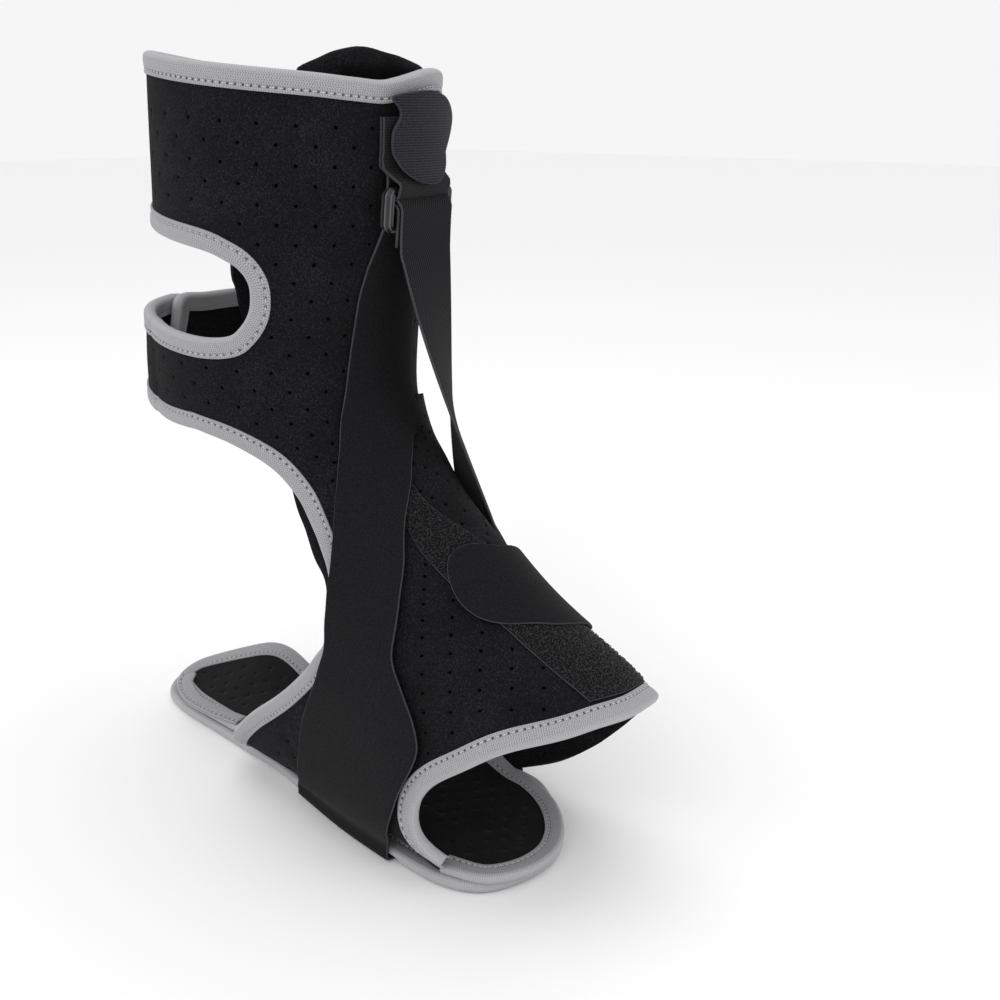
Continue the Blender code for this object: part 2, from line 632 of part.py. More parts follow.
sole_sign = 1 if sum(a[0] * b[1] - b[0] * a[1]
                     for a, b in zip(pad_loop, pad_loop[1:] + pad_loop[:1])) > 0 else -1
ring_a = under_tape(pad_loop, pad_at, (0.0005, 0.0005), sole_sign, closed=True, mid=0.003)
ring_b = under_tape(pad_loop, pad_at, (0.0005, 0.0005), sole_sign, TAPE_WIDTH + 0.0038, True,
                    0.003)
lines = [(c, y * 0.0095) for c in cuts for y in range(-4, 5)]
lines = kept(lines, pad_fine, SOLE, 0.004)
slab('sole_pad', pad_loop, SOLE, NET, pad_at, pad_low, pad_high, black,
     spread(spread(ring_b, lines, SOLE, 0.003), ring_a, SOLE, 0.003))
tape('pad_binding', pad_loop, pad_at, (0.0005, 0.0005), pad_low, pad_high, sole_sign, grey,
     closed=True)


def panel_low(x, y):
    return 0.0


def panel_high(x, y):
    return PANEL_THICK


panel_parts = [sized(p) for p in (PANEL_HEEL, PANEL_FAR, PANEL_BALL, PANEL_NEAR)]
panel_paths = [eased(curve(part, panel_at, STATION / 2)) for part in panel_parts]
panel_loop = [p for path in panel_paths for p in path[:-1]]
lobe_paths = [panel_paths[0], panel_paths[2]]
close = []
for path in lobe_paths:
    close += under_tape(path, panel_at, (0.0005, 0.0005), -1, mid=PANEL_THICK / 2)
slab('sole_panel', panel_loop, SOLE, NET * 0.95, panel_at, panel_low, panel_high, black,
     kept(close, panel_loop, SOLE, 0.003))
for name, path in zip(('heel_binding', 'ball_binding'), lobe_paths):
    tape(name, path, panel_at, (0.0005, 0.0005), panel_low, panel_high, -1, grey)

# aluminium plate between pad and panel
bpy.ops.mesh.primitive_cube_add(size=1)
plate = bpy.context.object
plate.name = plate.data.name = 'sole_plate'
base = EDGE_RISE + PAD_EDGE + PAD_RAISE + LAYER_GAP * 0.8
for v in plate.data.vertices:
    v.co = Vector((v.co.x * PLATE_LENGTH + 0.1475 * SOLE_LENGTH, v.co.y * PLATE_WIDTH,
                   base + (v.co.z + 0.5) * PLATE_THICK))
plate.data.materials.append(metal)
bm = bmesh.new()
bm.from_mesh(plate.data)
upright = [e for e in bm.edges if abs(e.verts[0].co.z - e.verts[1].co.z) > 1e-4]
bmesh.ops.bevel(bm, geom=upright, offset=PLATE_CORNER, segments=5, affect='EDGES')
bm.to_mesh(plate.data)
bm.free()


# bent aluminium bar in the shin pocket
def stay_u(v):
    return blend(11, 2, smooth((v - 4) / 4.5))


def stay_h(v):
    flat_foot = smooth((v - 5.8) / 2.2) * smooth((12.8 - v) / 2.6)
    return -(0.0030 + 0.0005 * smooth((1.4 - v) / 0.5) + 0.0013 * flat_foot)


def bar_rows(levels, width, h_of, round_ends=True):
    frames = []
    for v in levels:
        u = stay_u(v)
        p = on_boot(u, v, h_of(v))
        n = outward(u, v)
        a = skin(stay_u(v + 0.02), v + 0.02) - skin(stay_u(v - 0.02), v - 0.02)
        a = (a - n * a.dot(n)).normalized()
        frames.append((p, n, a))
    return frames


levels = [0.42 + k * (11.45 - 0.42) / 34 for k in range(35)]
frames = bar_rows(levels, STAY_WIDTH, stay_h)
rows = []
half = STAY_WIDTH / 2
for k, (p, n, a) in enumerate(frames):
    cross = n.cross(a).normalized()
    rows.append([p + cross * half * s for s in (-1, -0.5, 0.5, 1)])


def round_end(frame, way):
    p, n, a = frame
    cross = n.cross(a).normalized()
    out = []
    for ang in (25, 50, 72):
        c, s = math.cos(math.radians(ang)), math.sin(math.radians(ang))
        out.append([p + a * way * half * s + cross * half * c * t for t in (-1, -0.5, 0.5, 1)])
    return out


rows = round_end(frames[0], -1)[::-1] + rows + round_end(frames[-1], 1)
ribbon('shin_stay', rows, STAY_THICK, metal, sign=-1)

# padded sleeve behind the bar, its rounded top standing above the rim
SLEEVE_TOP = [(-12.5, 0.10), (-9, -0.05), (-2, -0.22), (6, -0.33), (14, -0.37), (22, -0.33),
              (30, -0.20), (37, -0.04), (39.5, 0.10)]


def sleeve_h(u, v):
    off = abs(u - stay_u(v) - blend(2, 0, smooth((v - 3) / 4)))
    deep = STAY_THICK + 0.0008 - stay_h(v)
    rim = blend(0.0024, 0.0013, smooth((v - 0.40) / 0.3))
    return -blend(deep, rim, smooth((off - 13.5) / 9))


def sleeve_low(u, v):
    return sleeve_h(u, v) - 0.003


def sleeve_high(u, v):
    return sleeve_h(u, v)


sleeve_side_a = [(39.5, 0.10), (39, 1.5), (38, 3.5), (33, 5.6), (29, 7.2), (27, 9.0), (26, 11.4)]
sleeve_end = [(26, 11.4), (24, 11.75), (16, 11.9), (2, 11.93), (-12, 11.9), (-20, 11.75),
              (-22, 11.4)]
sleeve_side_b = [(-22, 11.4), (-23, 9.0), (-21, 7.2), (-18, 5.6), (-13, 3.5), (-12.5, 1.5),
                 (-12.5, 0.10)]
loop = chain([SLEEVE_TOP, sleeve_side_a, sleeve_end, sleeve_side_b], on_boot, STATION)
slab('shin_sleeve', loop, BOOT, NET, on_boot, sleeve_low, sleeve_high, plush)


# lifting strap: near side, under the sole, far side, up to the ring
def strap_h(u, v):
    over_tape = 0.0022 * smooth((v - 7.0) / 1.0)
    bend = 0.0008 * smooth((v - 4.8) / 0.6) * smooth((8.0 - v) / 0.6)
    return CLOTH + LAYER_GAP + over_tape + bend + foot_bump(u, v)


LANES = (0.0, 0.25, 0.5, 0.75, 1.0)
ring_u, ring_v = -9.0, 1.66
ring_o = skin(ring_u, ring_v)
ring_n = outward(ring_u, ring_v)
ring_b = skin(ring_u, ring_v - 0.3) - skin(ring_u, ring_v + 0.3)
ring_b = (ring_b - ring_n * ring_b.dot(ring_n)).normalized()
ring_a = ring_n.cross(ring_b).normalized()
if ring_a.y < 0:
    ring_a = -ring_a


def in_ring(a, b, n):
    return ring_o + ring_a * a + ring_b * b + ring_n * n


def flat_row(b, n):
    return [in_ring(blend(-1, 1, t) * STRAP_HALF, b, n) for t in LANES]


def arc_rows(b, n, radius, angles):
    return [flat_row(b + radius * math.sin(math.radians(w)), n + radius * math.cos(math.radians(w)))
            for w in angles]


def boot_row(back, front, side, over_tape):
    row = []
    for t in LANES:
        u, v = blend(back[0], front[0], t) * side, blend(back[1], front[1], t)
        row.append(on_boot(u, v, strap_h(u, v) - (0 if over_tape else 0.0010 * smooth(v - 7.0))))
    return row


def side_edge(x, way):
    best = 0.0
    n = len(pad_fine)
    for i in range(n):
        (x0, y0), (x1, y1) = pad_fine[i], pad_fine[(i + 1) % n]
        if (x0 - x) * (x1 - x) <= 0 and abs(x1 - x0) > 1e-9:
            y = y0 + (y1 - y0) * (x - x0) / (x1 - x0)
            best = max(best, y * way)
    return best * way


strap_x0 = (RECESS_BACK + RECESS_RAMP + 0.009) * SOLE_LENGTH
strap_x1 = (RECESS_FRONT - RECESS_RAMP - 0.006) * SOLE_LENGTH


def under_row(way, out, z):
    return [Vector((blend(strap_x0, strap_x1, t), side_edge(blend(strap_x0, strap_x1, t), way)
                    + way * out, z)) for t in LANES]


fold_n = RING_OUT
lower_bar, upper_bar = -RING_SPAN / 2, RING_SPAN / 2
wrap = RING_BAR + LAYER_GAP + STRAP
hem = SLACK + TAPE + LAYER_GAP

rows = [flat_row(-0.024, fold_n + wrap), flat_row(lower_bar - 0.006, fold_n + wrap)]
rows += arc_rows(lower_bar, fold_n, wrap, (0, 36, 72, 108, 144, 180))
rows += [flat_row(lower_bar - 0.006, fold_n - wrap)]
pairs = list(zip(STRAP_BACK, STRAP_FRONT))
for back, front in reversed(pairs[1:]):
    rows.append(boot_row(back, front, 1, True))
edge_rows = [(hem + 0.0003, 0.0095), (hem + 0.0003, 0.0042), (hem, 0.0024),
             (-0.0022, STRAP), (-0.016, STRAP)]
rows += [under_row(-1, out, z) for out, z in edge_rows]
rows += [under_row(1, out, z) for out, z in edge_rows[::-1]]
for back, front in pairs[1:FAR_ROWS + 1]:
    rows.append(boot_row(back, front, -1, False))
start, before = rows[-1], rows[-2]
c0 = (start[0] + start[-1]) / 2
t0 = (c0 - (before[0] + before[-1]) / 2).normalized()
w0 = (start[-1] - start[0]).normalized()
front_n = fold_n + wrap + LAYER_GAP
c1 = in_ring(0, -0.026, front_n + 0.0006)
w1 = -ring_a
reach = (c1 - c0).length
go = (c1 - c0).normalized()
half0 = (start[-1] - start[0]).length / 2
FREE = 9
for k in range(1, FREE):
    s = k / FREE
    h1 = (2 * s - 3) * s * s + 1
    h2 = ((s - 2) * s + 1) * s
    h3 = (3 - 2 * s) * s * s
    h4 = (s - 1) * s * s
    c = c0 * h1 + (t0 * 0.45 + go * 0.55) * reach * h2 + c1 * h3 + (go * 0.75 + ring_b * 0.25) * reach * h4
    w = (w0 * (1 - s) + w1 * s).normalized()
    wide = blend(half0, STRAP_HALF, smooth(s * 3))
    rows.append([c + w * wide * blend(-1, 1, t) for t in LANES])
rows.append([p for p in flat_row(-0.026, front_n + 0.0006)[::-1]])
rows.append(flat_row(lower_bar - 0.004, front_n)[::-1])
for r in arc_rows(lower_bar, fold_n, wrap + LAYER_GAP, (0, 30, 60, 88)):
    rows.append(r[::-1])
ribbon('lifting_strap', rows, STRAP, plush)

# the strap that carries the hook tab, folded round the upper bar
def top_row(v, h):
    return [on_boot(ring_u + 17.0 * (1 - 2 * t), v, h) for t in LANES]


low_h = CLOTH + LAYER_GAP
top_h = low_h + STRAP + LAYER_GAP + STRAP
rows = [top_row(v, low_h) for v in (0.45, 0.65, 0.85, 1.05)]
rows += [flat_row(upper_bar + 0.006, fold_n - wrap)]
rows += arc_rows(upper_bar, fold_n, wrap, (180, 216, 252, 288, 324, 360))
rows += [flat_row(upper_bar + 0.004, fold_n + wrap)]
rows += [top_row(1.05, top_h + 0.0004), top_row(0.85, top_h), top_row(0.65, top_h),
         top_row(0.45, top_h)]
ribbon('adjuster_strap', rows, STRAP, webbing)

HOOK_TAB = [(4.0, 0.38), (3.2, 0.50), (5.6, 0.66), (6.2, 0.87), (3.0, 1.06), (-3.0, 1.17),
            (-12.0, 1.23), (-22.0, 1.21), (-31.0, 1.08), (-36.0, 0.87), (-37.0, 0.62),
            (-33.0, 0.42), (-24.0, 0.30), (-10.0, 0.28), (-1.0, 0.30)]
tab_low_h = top_h + LAYER_GAP * 2


def tab_low(u, v):
    return tab_low_h + 0.0044 * min(max((v - 0.88) / 0.29, 0.0), 1.2)


def tab_high(u, v):
    return tab_low(u, v) + 0.0022


loop = curve(HOOK_TAB, on_boot, STATION * 0.7, closed=True)
slab('hook_tab', loop, BOOT, NET * 0.8, on_boot, tab_low, tab_high, webbing)


# loop strip on the instep and the closing tab over it
def strip_low(u, v):
    return CLOTH + 1.6 * LAYER_GAP + foot_bump(u, v)


def strip_high(u, v):
    return strip_low(u, v) + STRAP


def foot_tab_low(u, v):
    return CLOTH + 3.4 * LAYER_GAP + STRAP + foot_bump(u, v)


def foot_tab_high(u, v):
    return foot_tab_low(u, v) + 0.0018


loop = chain([LOOP_STRIP[:2], LOOP_STRIP[1:8], LOOP_STRIP[7:10], LOOP_STRIP[9:]
              + LOOP_STRIP[:1]], on_boot, STATION * 0.75)
slab('loop_strip', loop, BOOT, NET * 0.68, on_boot, strip_low, strip_high, loops)
loop = curve(FOOT_TAB, on_boot, STATION * 0.75, closed=True)
slab('foot_tab', loop, BOOT, NET * 0.68, on_boot, foot_tab_low, foot_tab_high, plush)

# ring
corner = 0.0026
a_half, b_half = RING_WIDTH / 2 - RING_BAR, RING_SPAN / 2
path = []
for sa, sb, start_w in ((1, 1, 0), (-1, 1, 90), (-1, -1, 180), (1, -1, 270)):
    for w in (0, 30, 60, 90):
        r = math.radians(start_w + w)
        path.append((sa * (a_half - corner) + corner * math.cos(r),
                     sb * (b_half - corner) + corner * math.sin(r)))
verts, faces = [], []
SIDES = 8
for i, (a, b) in enumerate(path):
    p0, p1 = path[i - 1], path[(i + 1) % len(path)]
    run = Vector((p1[0] - p0[0], p1[1] - p0[1])).normalized()
    side = Vector((run.y, -run.x))
    deep = RING_BAR * (1 + 0.5 * smooth((abs(a) - a_half + corner) / corner))
    for k in range(SIDES):
        w = 2 * math.pi * (k + 0.5) / SIDES
        off = side * RING_BAR * math.cos(w)
        verts.append(in_ring(a + off.x, b + off.y, fold_n + deep * math.sin(w)))
n = len(path)
for i in range(n):
    for k in range(SIDES):
        faces.append([i * SIDES + k, i * SIDES + (k + 1) % SIDES,
                      (i + 1) % n * SIDES + (k + 1) % SIDES, (i + 1) % n * SIDES + k])
finish('strap_ring', verts, faces, plastic)
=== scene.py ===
import bmesh
import bpy
import math
import numpy as np
from mathutils import Matrix, Vector
from mathutils.geometry import delaunay_2d_cdt


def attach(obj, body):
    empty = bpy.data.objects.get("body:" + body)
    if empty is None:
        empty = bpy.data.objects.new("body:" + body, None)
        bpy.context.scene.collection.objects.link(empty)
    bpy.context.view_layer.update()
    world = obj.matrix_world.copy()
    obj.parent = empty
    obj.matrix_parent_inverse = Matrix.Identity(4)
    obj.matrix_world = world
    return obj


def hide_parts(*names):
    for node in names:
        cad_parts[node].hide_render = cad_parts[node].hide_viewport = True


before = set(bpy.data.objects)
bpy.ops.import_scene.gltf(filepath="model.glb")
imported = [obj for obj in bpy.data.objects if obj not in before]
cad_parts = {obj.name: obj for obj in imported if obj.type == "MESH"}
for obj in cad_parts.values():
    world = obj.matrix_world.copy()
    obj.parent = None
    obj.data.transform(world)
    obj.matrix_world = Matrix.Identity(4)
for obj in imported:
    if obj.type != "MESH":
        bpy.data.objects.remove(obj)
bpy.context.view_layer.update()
print("frame loaded:", len(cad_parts), "nodes")

mm = 0.001

# the boot that every cloth piece follows; lengths in mm
boot = {
    "soleLength": 278.0,
    "soleWidth": 98.0,
    "legHeight": 345.0,
    "legHalf": 59.0,
    "cloth": 3.5,
    "strap": 1.6,
    "layerGap": 0.5,
}

# closed sections from the top rim to the toes: front x, front z, back x, back z, half width,
# squareness of the back half; x in soleLength, z in legHeight, half width in legHalf
bootSections = np.array([
    [0.2194, 0.9754, -0.2194, 1.0159, 1.0000, 2.0],  # rim
    [0.2122, 0.8812, -0.2338, 0.9043, 1.0000, 2.0],  # calf
    [0.1978, 0.7855, -0.2482, 0.8000, 0.9831, 2.0],  # band_low
    [0.1763, 0.7101, -0.2698, 0.7217, 0.9661, 2.0],  # notch
    [0.1655, 0.6377, -0.2914, 0.6464, 0.9492, 2.0],  # lower_top
    [0.1691, 0.5710, -0.3094, 0.5797, 0.9153, 2.0],  # lower_low
    [0.1978, 0.5275, -0.3094, 0.4638, 0.8644, 2.2],  # ankle
    [0.2338, 0.5043, -0.3094, 0.3188, 0.8305, 2.5],  # hinge
    [0.2806, 0.4812, -0.3165, 0.1739, 0.8136, 3.0],  # instep
    [0.3417, 0.4464, -0.3165, 0.0406, 0.7966, 4.0],  # heel
    [0.4173, 0.4029, -0.0719, 0.0296, 0.7966, 4.0],  # arch
    [0.4928, 0.3565, 0.1079, 0.0296, 0.8305, 4.0],  # mid
    [0.5647, 0.3130, 0.2518, 0.0296, 0.8644, 4.0],  # ball
    [0.6331, 0.2725, 0.3669, 0.0296, 0.8814, 4.0],  # toe
    [0.7014, 0.2319, 0.4820, 0.0296, 0.8983, 4.0],  # beyond
])


def smooth(t):
    t = np.clip(t, 0.0, 1.0)
    return t * t * (3 - 2 * t)


# 0 up to start, 1 from start + span on; pairs of both stand in the dictionaries
def rise(x, pair):
    return smooth((x - pair[0]) / pair[1])


def fall(x, pair):
    return smooth((pair[0] - x) / pair[1])


def blend(a, b, t):
    return a + (b - a) * t


# the smooth curve from q1 to q2, which heads on to q3
def through(q0, q1, q2, q3, t):
    return 0.5 * (2 * q1 + (q2 - q0) * t + (2 * q0 - 5 * q1 + 4 * q2 - q3) * t * t
                  + (3 * q1 - q0 - 3 * q2 + q3) * t ** 3)


def together(*values):
    return np.broadcast_arrays(*[np.asarray(v, float) for v in values])


def unit(v):
    return v / np.linalg.norm(v, axis=-1, keepdims=True)


def lengthAlong(points):
    return np.concatenate([[0], np.cumsum(np.linalg.norm(np.diff(points, axis=0), axis=1))])


def sectionAt(v):
    v = np.asarray(v, float)
    last = len(bootSections) - 1
    base = np.clip(v, 0.0, last - 1e-6)
    i = base.astype(int)
    t = (base - i)[..., None]
    p1, p2 = bootSections[i], bootSections[i + 1]
    p0 = np.where((i > 0)[..., None], bootSections[np.maximum(i - 1, 0)], 2 * p1 - p2)
    p3 = np.where((i + 2 <= last)[..., None], bootSections[np.minimum(i + 2, last)], 2 * p2 - p1)
    return through(p0, p1, p2, p3, t) + np.where(v < 0, v, 0.0)[..., None] * (p2 - p1)


def skinAt(u, v):
    cols = sectionAt(v)
    fx, fz, bx, bz, half, square = [cols[..., k] for k in range(6)]
    c, s = np.cos(np.radians(u)), np.sin(np.radians(u))
    m = np.where(c < 0, square, 2.0)
    r = (np.abs(c) ** m + np.abs(s) ** m) ** (-1.0 / m)
    x = ((fx + bx) / 2 + (fx - bx) / 2 * c * r) * boot["soleLength"]
    z = ((fz + bz) / 2 + (fz - bz) / 2 * c * r) * boot["legHeight"]
    y = -half * boot["legHalf"] * s * r
    return np.stack([x, y, z], -1) * mm


def outwardAt(u, v):
    u, v = np.asarray(u, float), np.minimum(np.asarray(v, float), 13.97)
    a = skinAt(u + 0.5, v) - skinAt(u - 0.5, v)
    b = skinAt(u, v + 0.02) - skinAt(u, v - 0.02)
    n = unit(np.cross(a, b))
    cols = sectionAt(v)
    mid = np.stack([(cols[..., 0] + cols[..., 2]) / 2 * boot["soleLength"] * mm, np.zeros_like(v + u),
                    (cols[..., 1] + cols[..., 3]) / 2 * boot["legHeight"] * mm], -1)
    flip = np.sum(n * (skinAt(u, v) - mid), -1) < 0
    return np.where(flip[..., None], -n, n)


# soft dents and rolls in the cloth: degrees round, section, height, and their two widths
clothRolls = [
    (62, 4.6, -0.9, 16, 0.5), (80, 5.1, 0.7, 22, 0.35), (30, 5.6, 0.9, 12, 0.4),
    (74, 12.1, -0.8, 20, 0.45), (100, 11.9, 0.7, 14, 0.6), (46, 11.2, 0.6, 14, 0.9),
    (90, 1.0, 0.5, 30, 0.9), (130, 1.2, -0.5, 18, 0.8), (-90, 3.0, 0.7, 26, 1.1),
    (-100, 6.6, -0.7, 20, 0.8), (-60, 12.6, 0.9, 18, 0.5), (-20, 13.0, 0.5, 14, 0.4),
    (-20, 10.8, -3.0, 45, 1.3),
]


def rollAt(u, v):
    total = np.zeros(np.broadcast(u, v).shape)
    for ru, rv, height, wide, tall in clothRolls:
        total = total + height * mm * np.exp(-((u - ru) / wide) ** 2 - ((v - rv) / tall) ** 2)
    return total


def onBoot(u, v, h):
    u, v, h = together(u, v, h)
    return skinAt(u, v) + outwardAt(u, v) * (h + rollAt(u, v))[..., None]


# outlines on the boot: (degrees round from the front, section)
rawRim = [(-171.0, 0.22), (-150, 0.25), (-128.5, 0.28)]
topRim = [(-128.5, 0.28), (-100, 0.28), (-75, 0.22), (-55, 0.09), (-40, -0.04), (-30, -0.09),
          (-18, -0.09), (-8, -0.04), (0, 0.01), (8, 0.05), (20, 0.03), (40, 0.0), (80, 0.0),
          (115, 0.0), (135, 0.02), (155, 0.07), (180, 0.15), (205, 0.23)]
tongueEnd = [(205, 0.23), (219, 0.27), (227, 0.42), (229, 0.68), (229, 1.35),
             (227, 1.70), (219, 1.90), (205, 1.95)]
notch = [(205, 1.95), (160, 1.95), (132, 1.97), (106.5, 2.03), (79.2, 2.12), (67.8, 2.25),
         (61.5, 2.39), (57.4, 2.62), (56.2, 2.90), (57.0, 3.16), (60.4, 3.41), (65.8, 3.60),
         (78.4, 3.68), (96.6, 3.66), (115, 3.62), (140, 3.57), (164, 3.55)]
lowTongueEnd = [(164, 3.55), (172, 3.63), (177, 3.90), (178.5, 4.30), (177, 4.75),
                (172, 5.08), (163, 5.20)]
nearBack = [(163, 5.20), (135, 5.32), (111, 5.40), (92.3, 5.42), (85.3, 5.44), (73.7, 5.58),
            (64.5, 5.83), (58.2, 6.14), (54.6, 6.53), (52.3, 7.11), (52.0, 7.66),
            (52.4, 8.23), (53.4, 8.73), (56.7, 9.06), (64.4, 9.44), (72.0, 9.68),
            (77.8, 9.74), (85.4, 9.80), (97.5, 9.82), (106.5, 9.80), (115.7, 9.76),
            (126.1, 9.75), (135.0, 9.76), (143.9, 9.78)]
nearFootBack = [(143.9, 9.78), (149.6, 9.95), (151.1, 10.30), (151.1, 11.00), (151.1, 11.70)]
nearFootFront = [(151.1, 11.70), (151.1, 12.15), (147.6, 12.45), (140.7, 12.75),
                 (134.5, 13.00), (131.0, 13.30), (129.5, 13.60)]
toeRim = [(129.5, 13.60), (126.0, 13.30), (120.8, 13.00), (111.5, 12.70), (99.8, 12.50),
          (86.7, 12.47), (71.1, 12.62), (53.9, 12.81), (32.4, 13.18), (16.3, 13.36),
          (-3.2, 13.52), (-25.0, 13.52), (-48.0, 13.47)]
farFront = [(-48.0, 13.47), (-80.0, 13.45), (-97.5, 13.45), (-115.7, 13.40),
            (-129.9, 13.20), (-140.1, 12.79), (-147.9, 12.40), (-151.1, 12.10)]
farFootFront = [(-151.1, 12.10), (-151.1, 11.70)]
farFootBack = [(-151.1, 11.70), (-151.1, 11.00), (-151.1, 10.30), (-148.9, 9.95)]
farBack = [(-148.9, 9.95), (-142.8, 9.80), (-129.9, 9.62), (-122.4, 9.35), (-119.3, 8.90),
           (-119.6, 8.38), (-124.6, 7.94), (-128.4, 7.47), (-132.6, 7.07), (-138.7, 6.20),
           (-148.7, 5.20), (-157.0, 4.29), (-160.6, 3.92), (-163.6, 3.50), (-167.3, 3.06),
           (-170.0, 1.50), (-171.0, 0.22)]
# seam between the leg half and the forefoot half, under the lifting strap
seam = [(151.1, 11.70), (137.5, 11.70), (127.2, 11.68), (112.8, 11.50), (97, 11.35),
        (85.0, 11.15), (70.0, 10.65), (57.0, 9.85), (47.0, 9.30), (38.0, 8.65), (27.0, 7.65),
        (14.0, 6.30), (5.0, 5.60), (-8.0, 5.20), (-30.0, 5.10), (-44.0, 5.35), (-51.0, 6.20),
        (-50.0, 7.50), (-49.0, 8.80), (-50.5, 9.40), (-57.0, 9.85), (-70.0, 10.65),
        (-85.0, 11.15), (-97, 11.35), (-112.8, 11.50), (-127.2, 11.68), (-137.5, 11.70),
        (-151.1, 11.70)]
seamShift = (0.16, 0.008)
# the lifting strap, edge pairs going up
strapBack = [(142.8, 10.92), (131.5, 10.88), (117.4, 10.64), (102.9, 10.32), (86.0, 10.05),
             (79.4, 9.92), (72.0, 9.76), (65.0, 9.50), (58.4, 9.21), (52.0, 8.80),
             (47.0, 8.30), (42.0, 7.75), (36.0, 6.96), (30.0, 6.10), (25.8, 5.47),
             (21.0, 4.80), (18.6, 4.32), (15.7, 3.40), (14.2, 2.75),
             (12.2, 2.30)]
strapFront = [(142.8, 12.60), (130.4, 12.60), (115.7, 12.45), (100.6, 12.25), (80.0, 12.00),
              (71.0, 11.62), (65.0, 11.10), (59.0, 10.55), (51.0, 10.20), (43.0, 9.85),
              (32.0, 9.34), (22.0, 8.60), (10.0, 7.75), (-1.0, 6.70), (-10.0, 5.85),
              (-16.0, 5.10), (-19.0, 4.40), (-19.0, 3.40), (-20.5, 2.75),
              (-22.0, 2.30)]
farRows = 10
loopStrip = [(12.0, 7.95), (22.0, 8.35), (26.0, 9.30), (26.0, 10.20), (21.0, 11.00),
             (18.6, 11.60), (15.6, 12.30), (12.2, 12.98), (-8, 13.16), (-34, 13.16),
             (-31, 12.2), (-20, 11.3), (-8, 10.3), (4, 9.5), (11, 8.7)]
footTab = [(28.3, 10.42), (26.0, 10.79), (19.3, 11.09), (7.6, 11.34), (-1.5, 11.52), (-14, 11.64),
           (-30, 11.70), (-46, 11.72), (-48.0, 11.4), (-48.0, 10.5), (-46, 10.10),
           (-28, 9.98), (-12, 9.90), (-2.2, 9.84), (5.2, 9.70), (12.3, 9.60), (18.5, 9.64),
           (22.8, 9.78), (26.4, 10.05)]
lowStrapTop = [(232, 3.62), (215, 3.60), (200, 3.58), (180, 3.52), (166, 3.45)]
lowStrapEnd = [(166, 3.45), (159, 3.47), (156, 3.62), (155.5, 3.80), (153, 4.2), (150.5, 4.6),
               (149.5, 4.85), (151, 5.05), (157, 5.12)]
lowStrapLow = [(157, 5.12), (180, 5.15), (200, 5.18), (215, 5.20), (232, 5.20)]

# sole outlines: x in soleLength, y in soleWidth
pad = [(-0.4442, -0.0714), (-0.4353, -0.1430), (-0.4137, -0.1990), (-0.3800, -0.2320),
       (-0.3237, -0.2602),
       (-0.2158, -0.2755), (-0.1187, -0.2959), (-0.0180, -0.3163), (0.1079, -0.3776),
       (0.2158, -0.4286), (0.3453, -0.4592), (0.4388, -0.4541), (0.5000, -0.3776),
       (0.5310, -0.2245), (0.5410, -0.0306), (0.5230, 0.1200), (0.4870, 0.2500),
       (0.4210, 0.3920), (0.3705, 0.4560), (0.3129, 0.4490), (0.2158, 0.4082),
       (0.1079, 0.3673), (0.0000, 0.3469), (-0.1079, 0.3469), (-0.1799, 0.3571),
       (-0.2374, 0.3367), (-0.3022, 0.2857), (-0.3633, 0.2041), (-0.4101, 0.1071),
       (-0.4371, 0.0153)]
panelHeel = [(-0.1400, -0.2700), (-0.1727, -0.2653), (-0.2374, -0.2602), (-0.3165, -0.2449),
             (-0.3669, -0.2143), (-0.3975, -0.1786), (-0.4191, -0.1276), (-0.4281, -0.0561),
             (-0.4209, 0.0255), (-0.3939, 0.1020), (-0.3489, 0.1888), (-0.2950, 0.2653), (-0.2302, 0.3163),
             (-0.1511, 0.3265), (-0.1150, 0.3180)]
panelFar = [(-0.1150, 0.3180), (-0.0850, 0.2750), (-0.0400, 0.2600), (0.0719, 0.2600),
            (0.2158, 0.2750), (0.3200, 0.3050), (0.3640, 0.3470)]
panelBall = [(0.3640, 0.3470), (0.3890, 0.3540), (0.4380, 0.3240),
             (0.4860, 0.2400), (0.5290, 0.1080), (0.5520, -0.0510), (0.5450, -0.2300),
             (0.5080, -0.3830), (0.4388, -0.4439), (0.3880, -0.4360)]
panelNear = [(0.3880, -0.4360), (0.3640, -0.3850), (0.3300, -0.3250), (0.2734, -0.2950),
             (0.1439, -0.2800), (0.0000, -0.2600), (-0.0900, -0.2400), (-0.1400, -0.2700)]
# where the lifting strap crosses under the pad, in soleLength
recessBack, recessFront, recessRamp = 0.0432, 0.3600, 0.0200


# lines and nets
def curveThrough(points, place, pitch, closed=False, h=0.0):
    pts = np.array(points, float)
    n = len(pts)
    spans = n if closed else n - 1
    idx = np.arange(spans)
    if closed:
        q = [pts[(idx + k) % n] for k in (-1, 0, 1, 2)]
    else:
        q = [pts[np.clip(idx + k, 0, n - 1)] for k in (-1, 0, 1, 2)]
    t = (np.arange(10) / 10)[None, :, None]
    fine = through(*[p[:, None, :] for p in q], t)
    fine = np.vstack([fine.reshape(-1, 2), pts[0] if closed else pts[-1]])
    spots = place(fine[:, 0], fine[:, 1], h)
    at = lengthAlong(spots)
    count = max(8 if closed else 2, round(at[-1] / pitch))
    want = at[-1] * np.arange(count + (0 if closed else 1)) / count
    return np.stack([np.interp(want, at, fine[:, 0]), np.interp(want, at, fine[:, 1])], 1)


def chainOf(segments, place, pitch, h=0.0):
    return np.vstack([curveThrough(s, place, pitch, h=h)[:-1] for s in segments])


def insideLoop(p, loop):
    hit = np.zeros(len(p), bool)
    for (x1, y1), (x2, y2) in zip(loop, np.roll(loop, -1, axis=0)):
        if y1 != y2:
            cross = (y1 > p[:, 1]) != (y2 > p[:, 1])
            hit ^= cross & (p[:, 0] < (x2 - x1) * (p[:, 1] - y1) / (y2 - y1) + x1)
    return hit


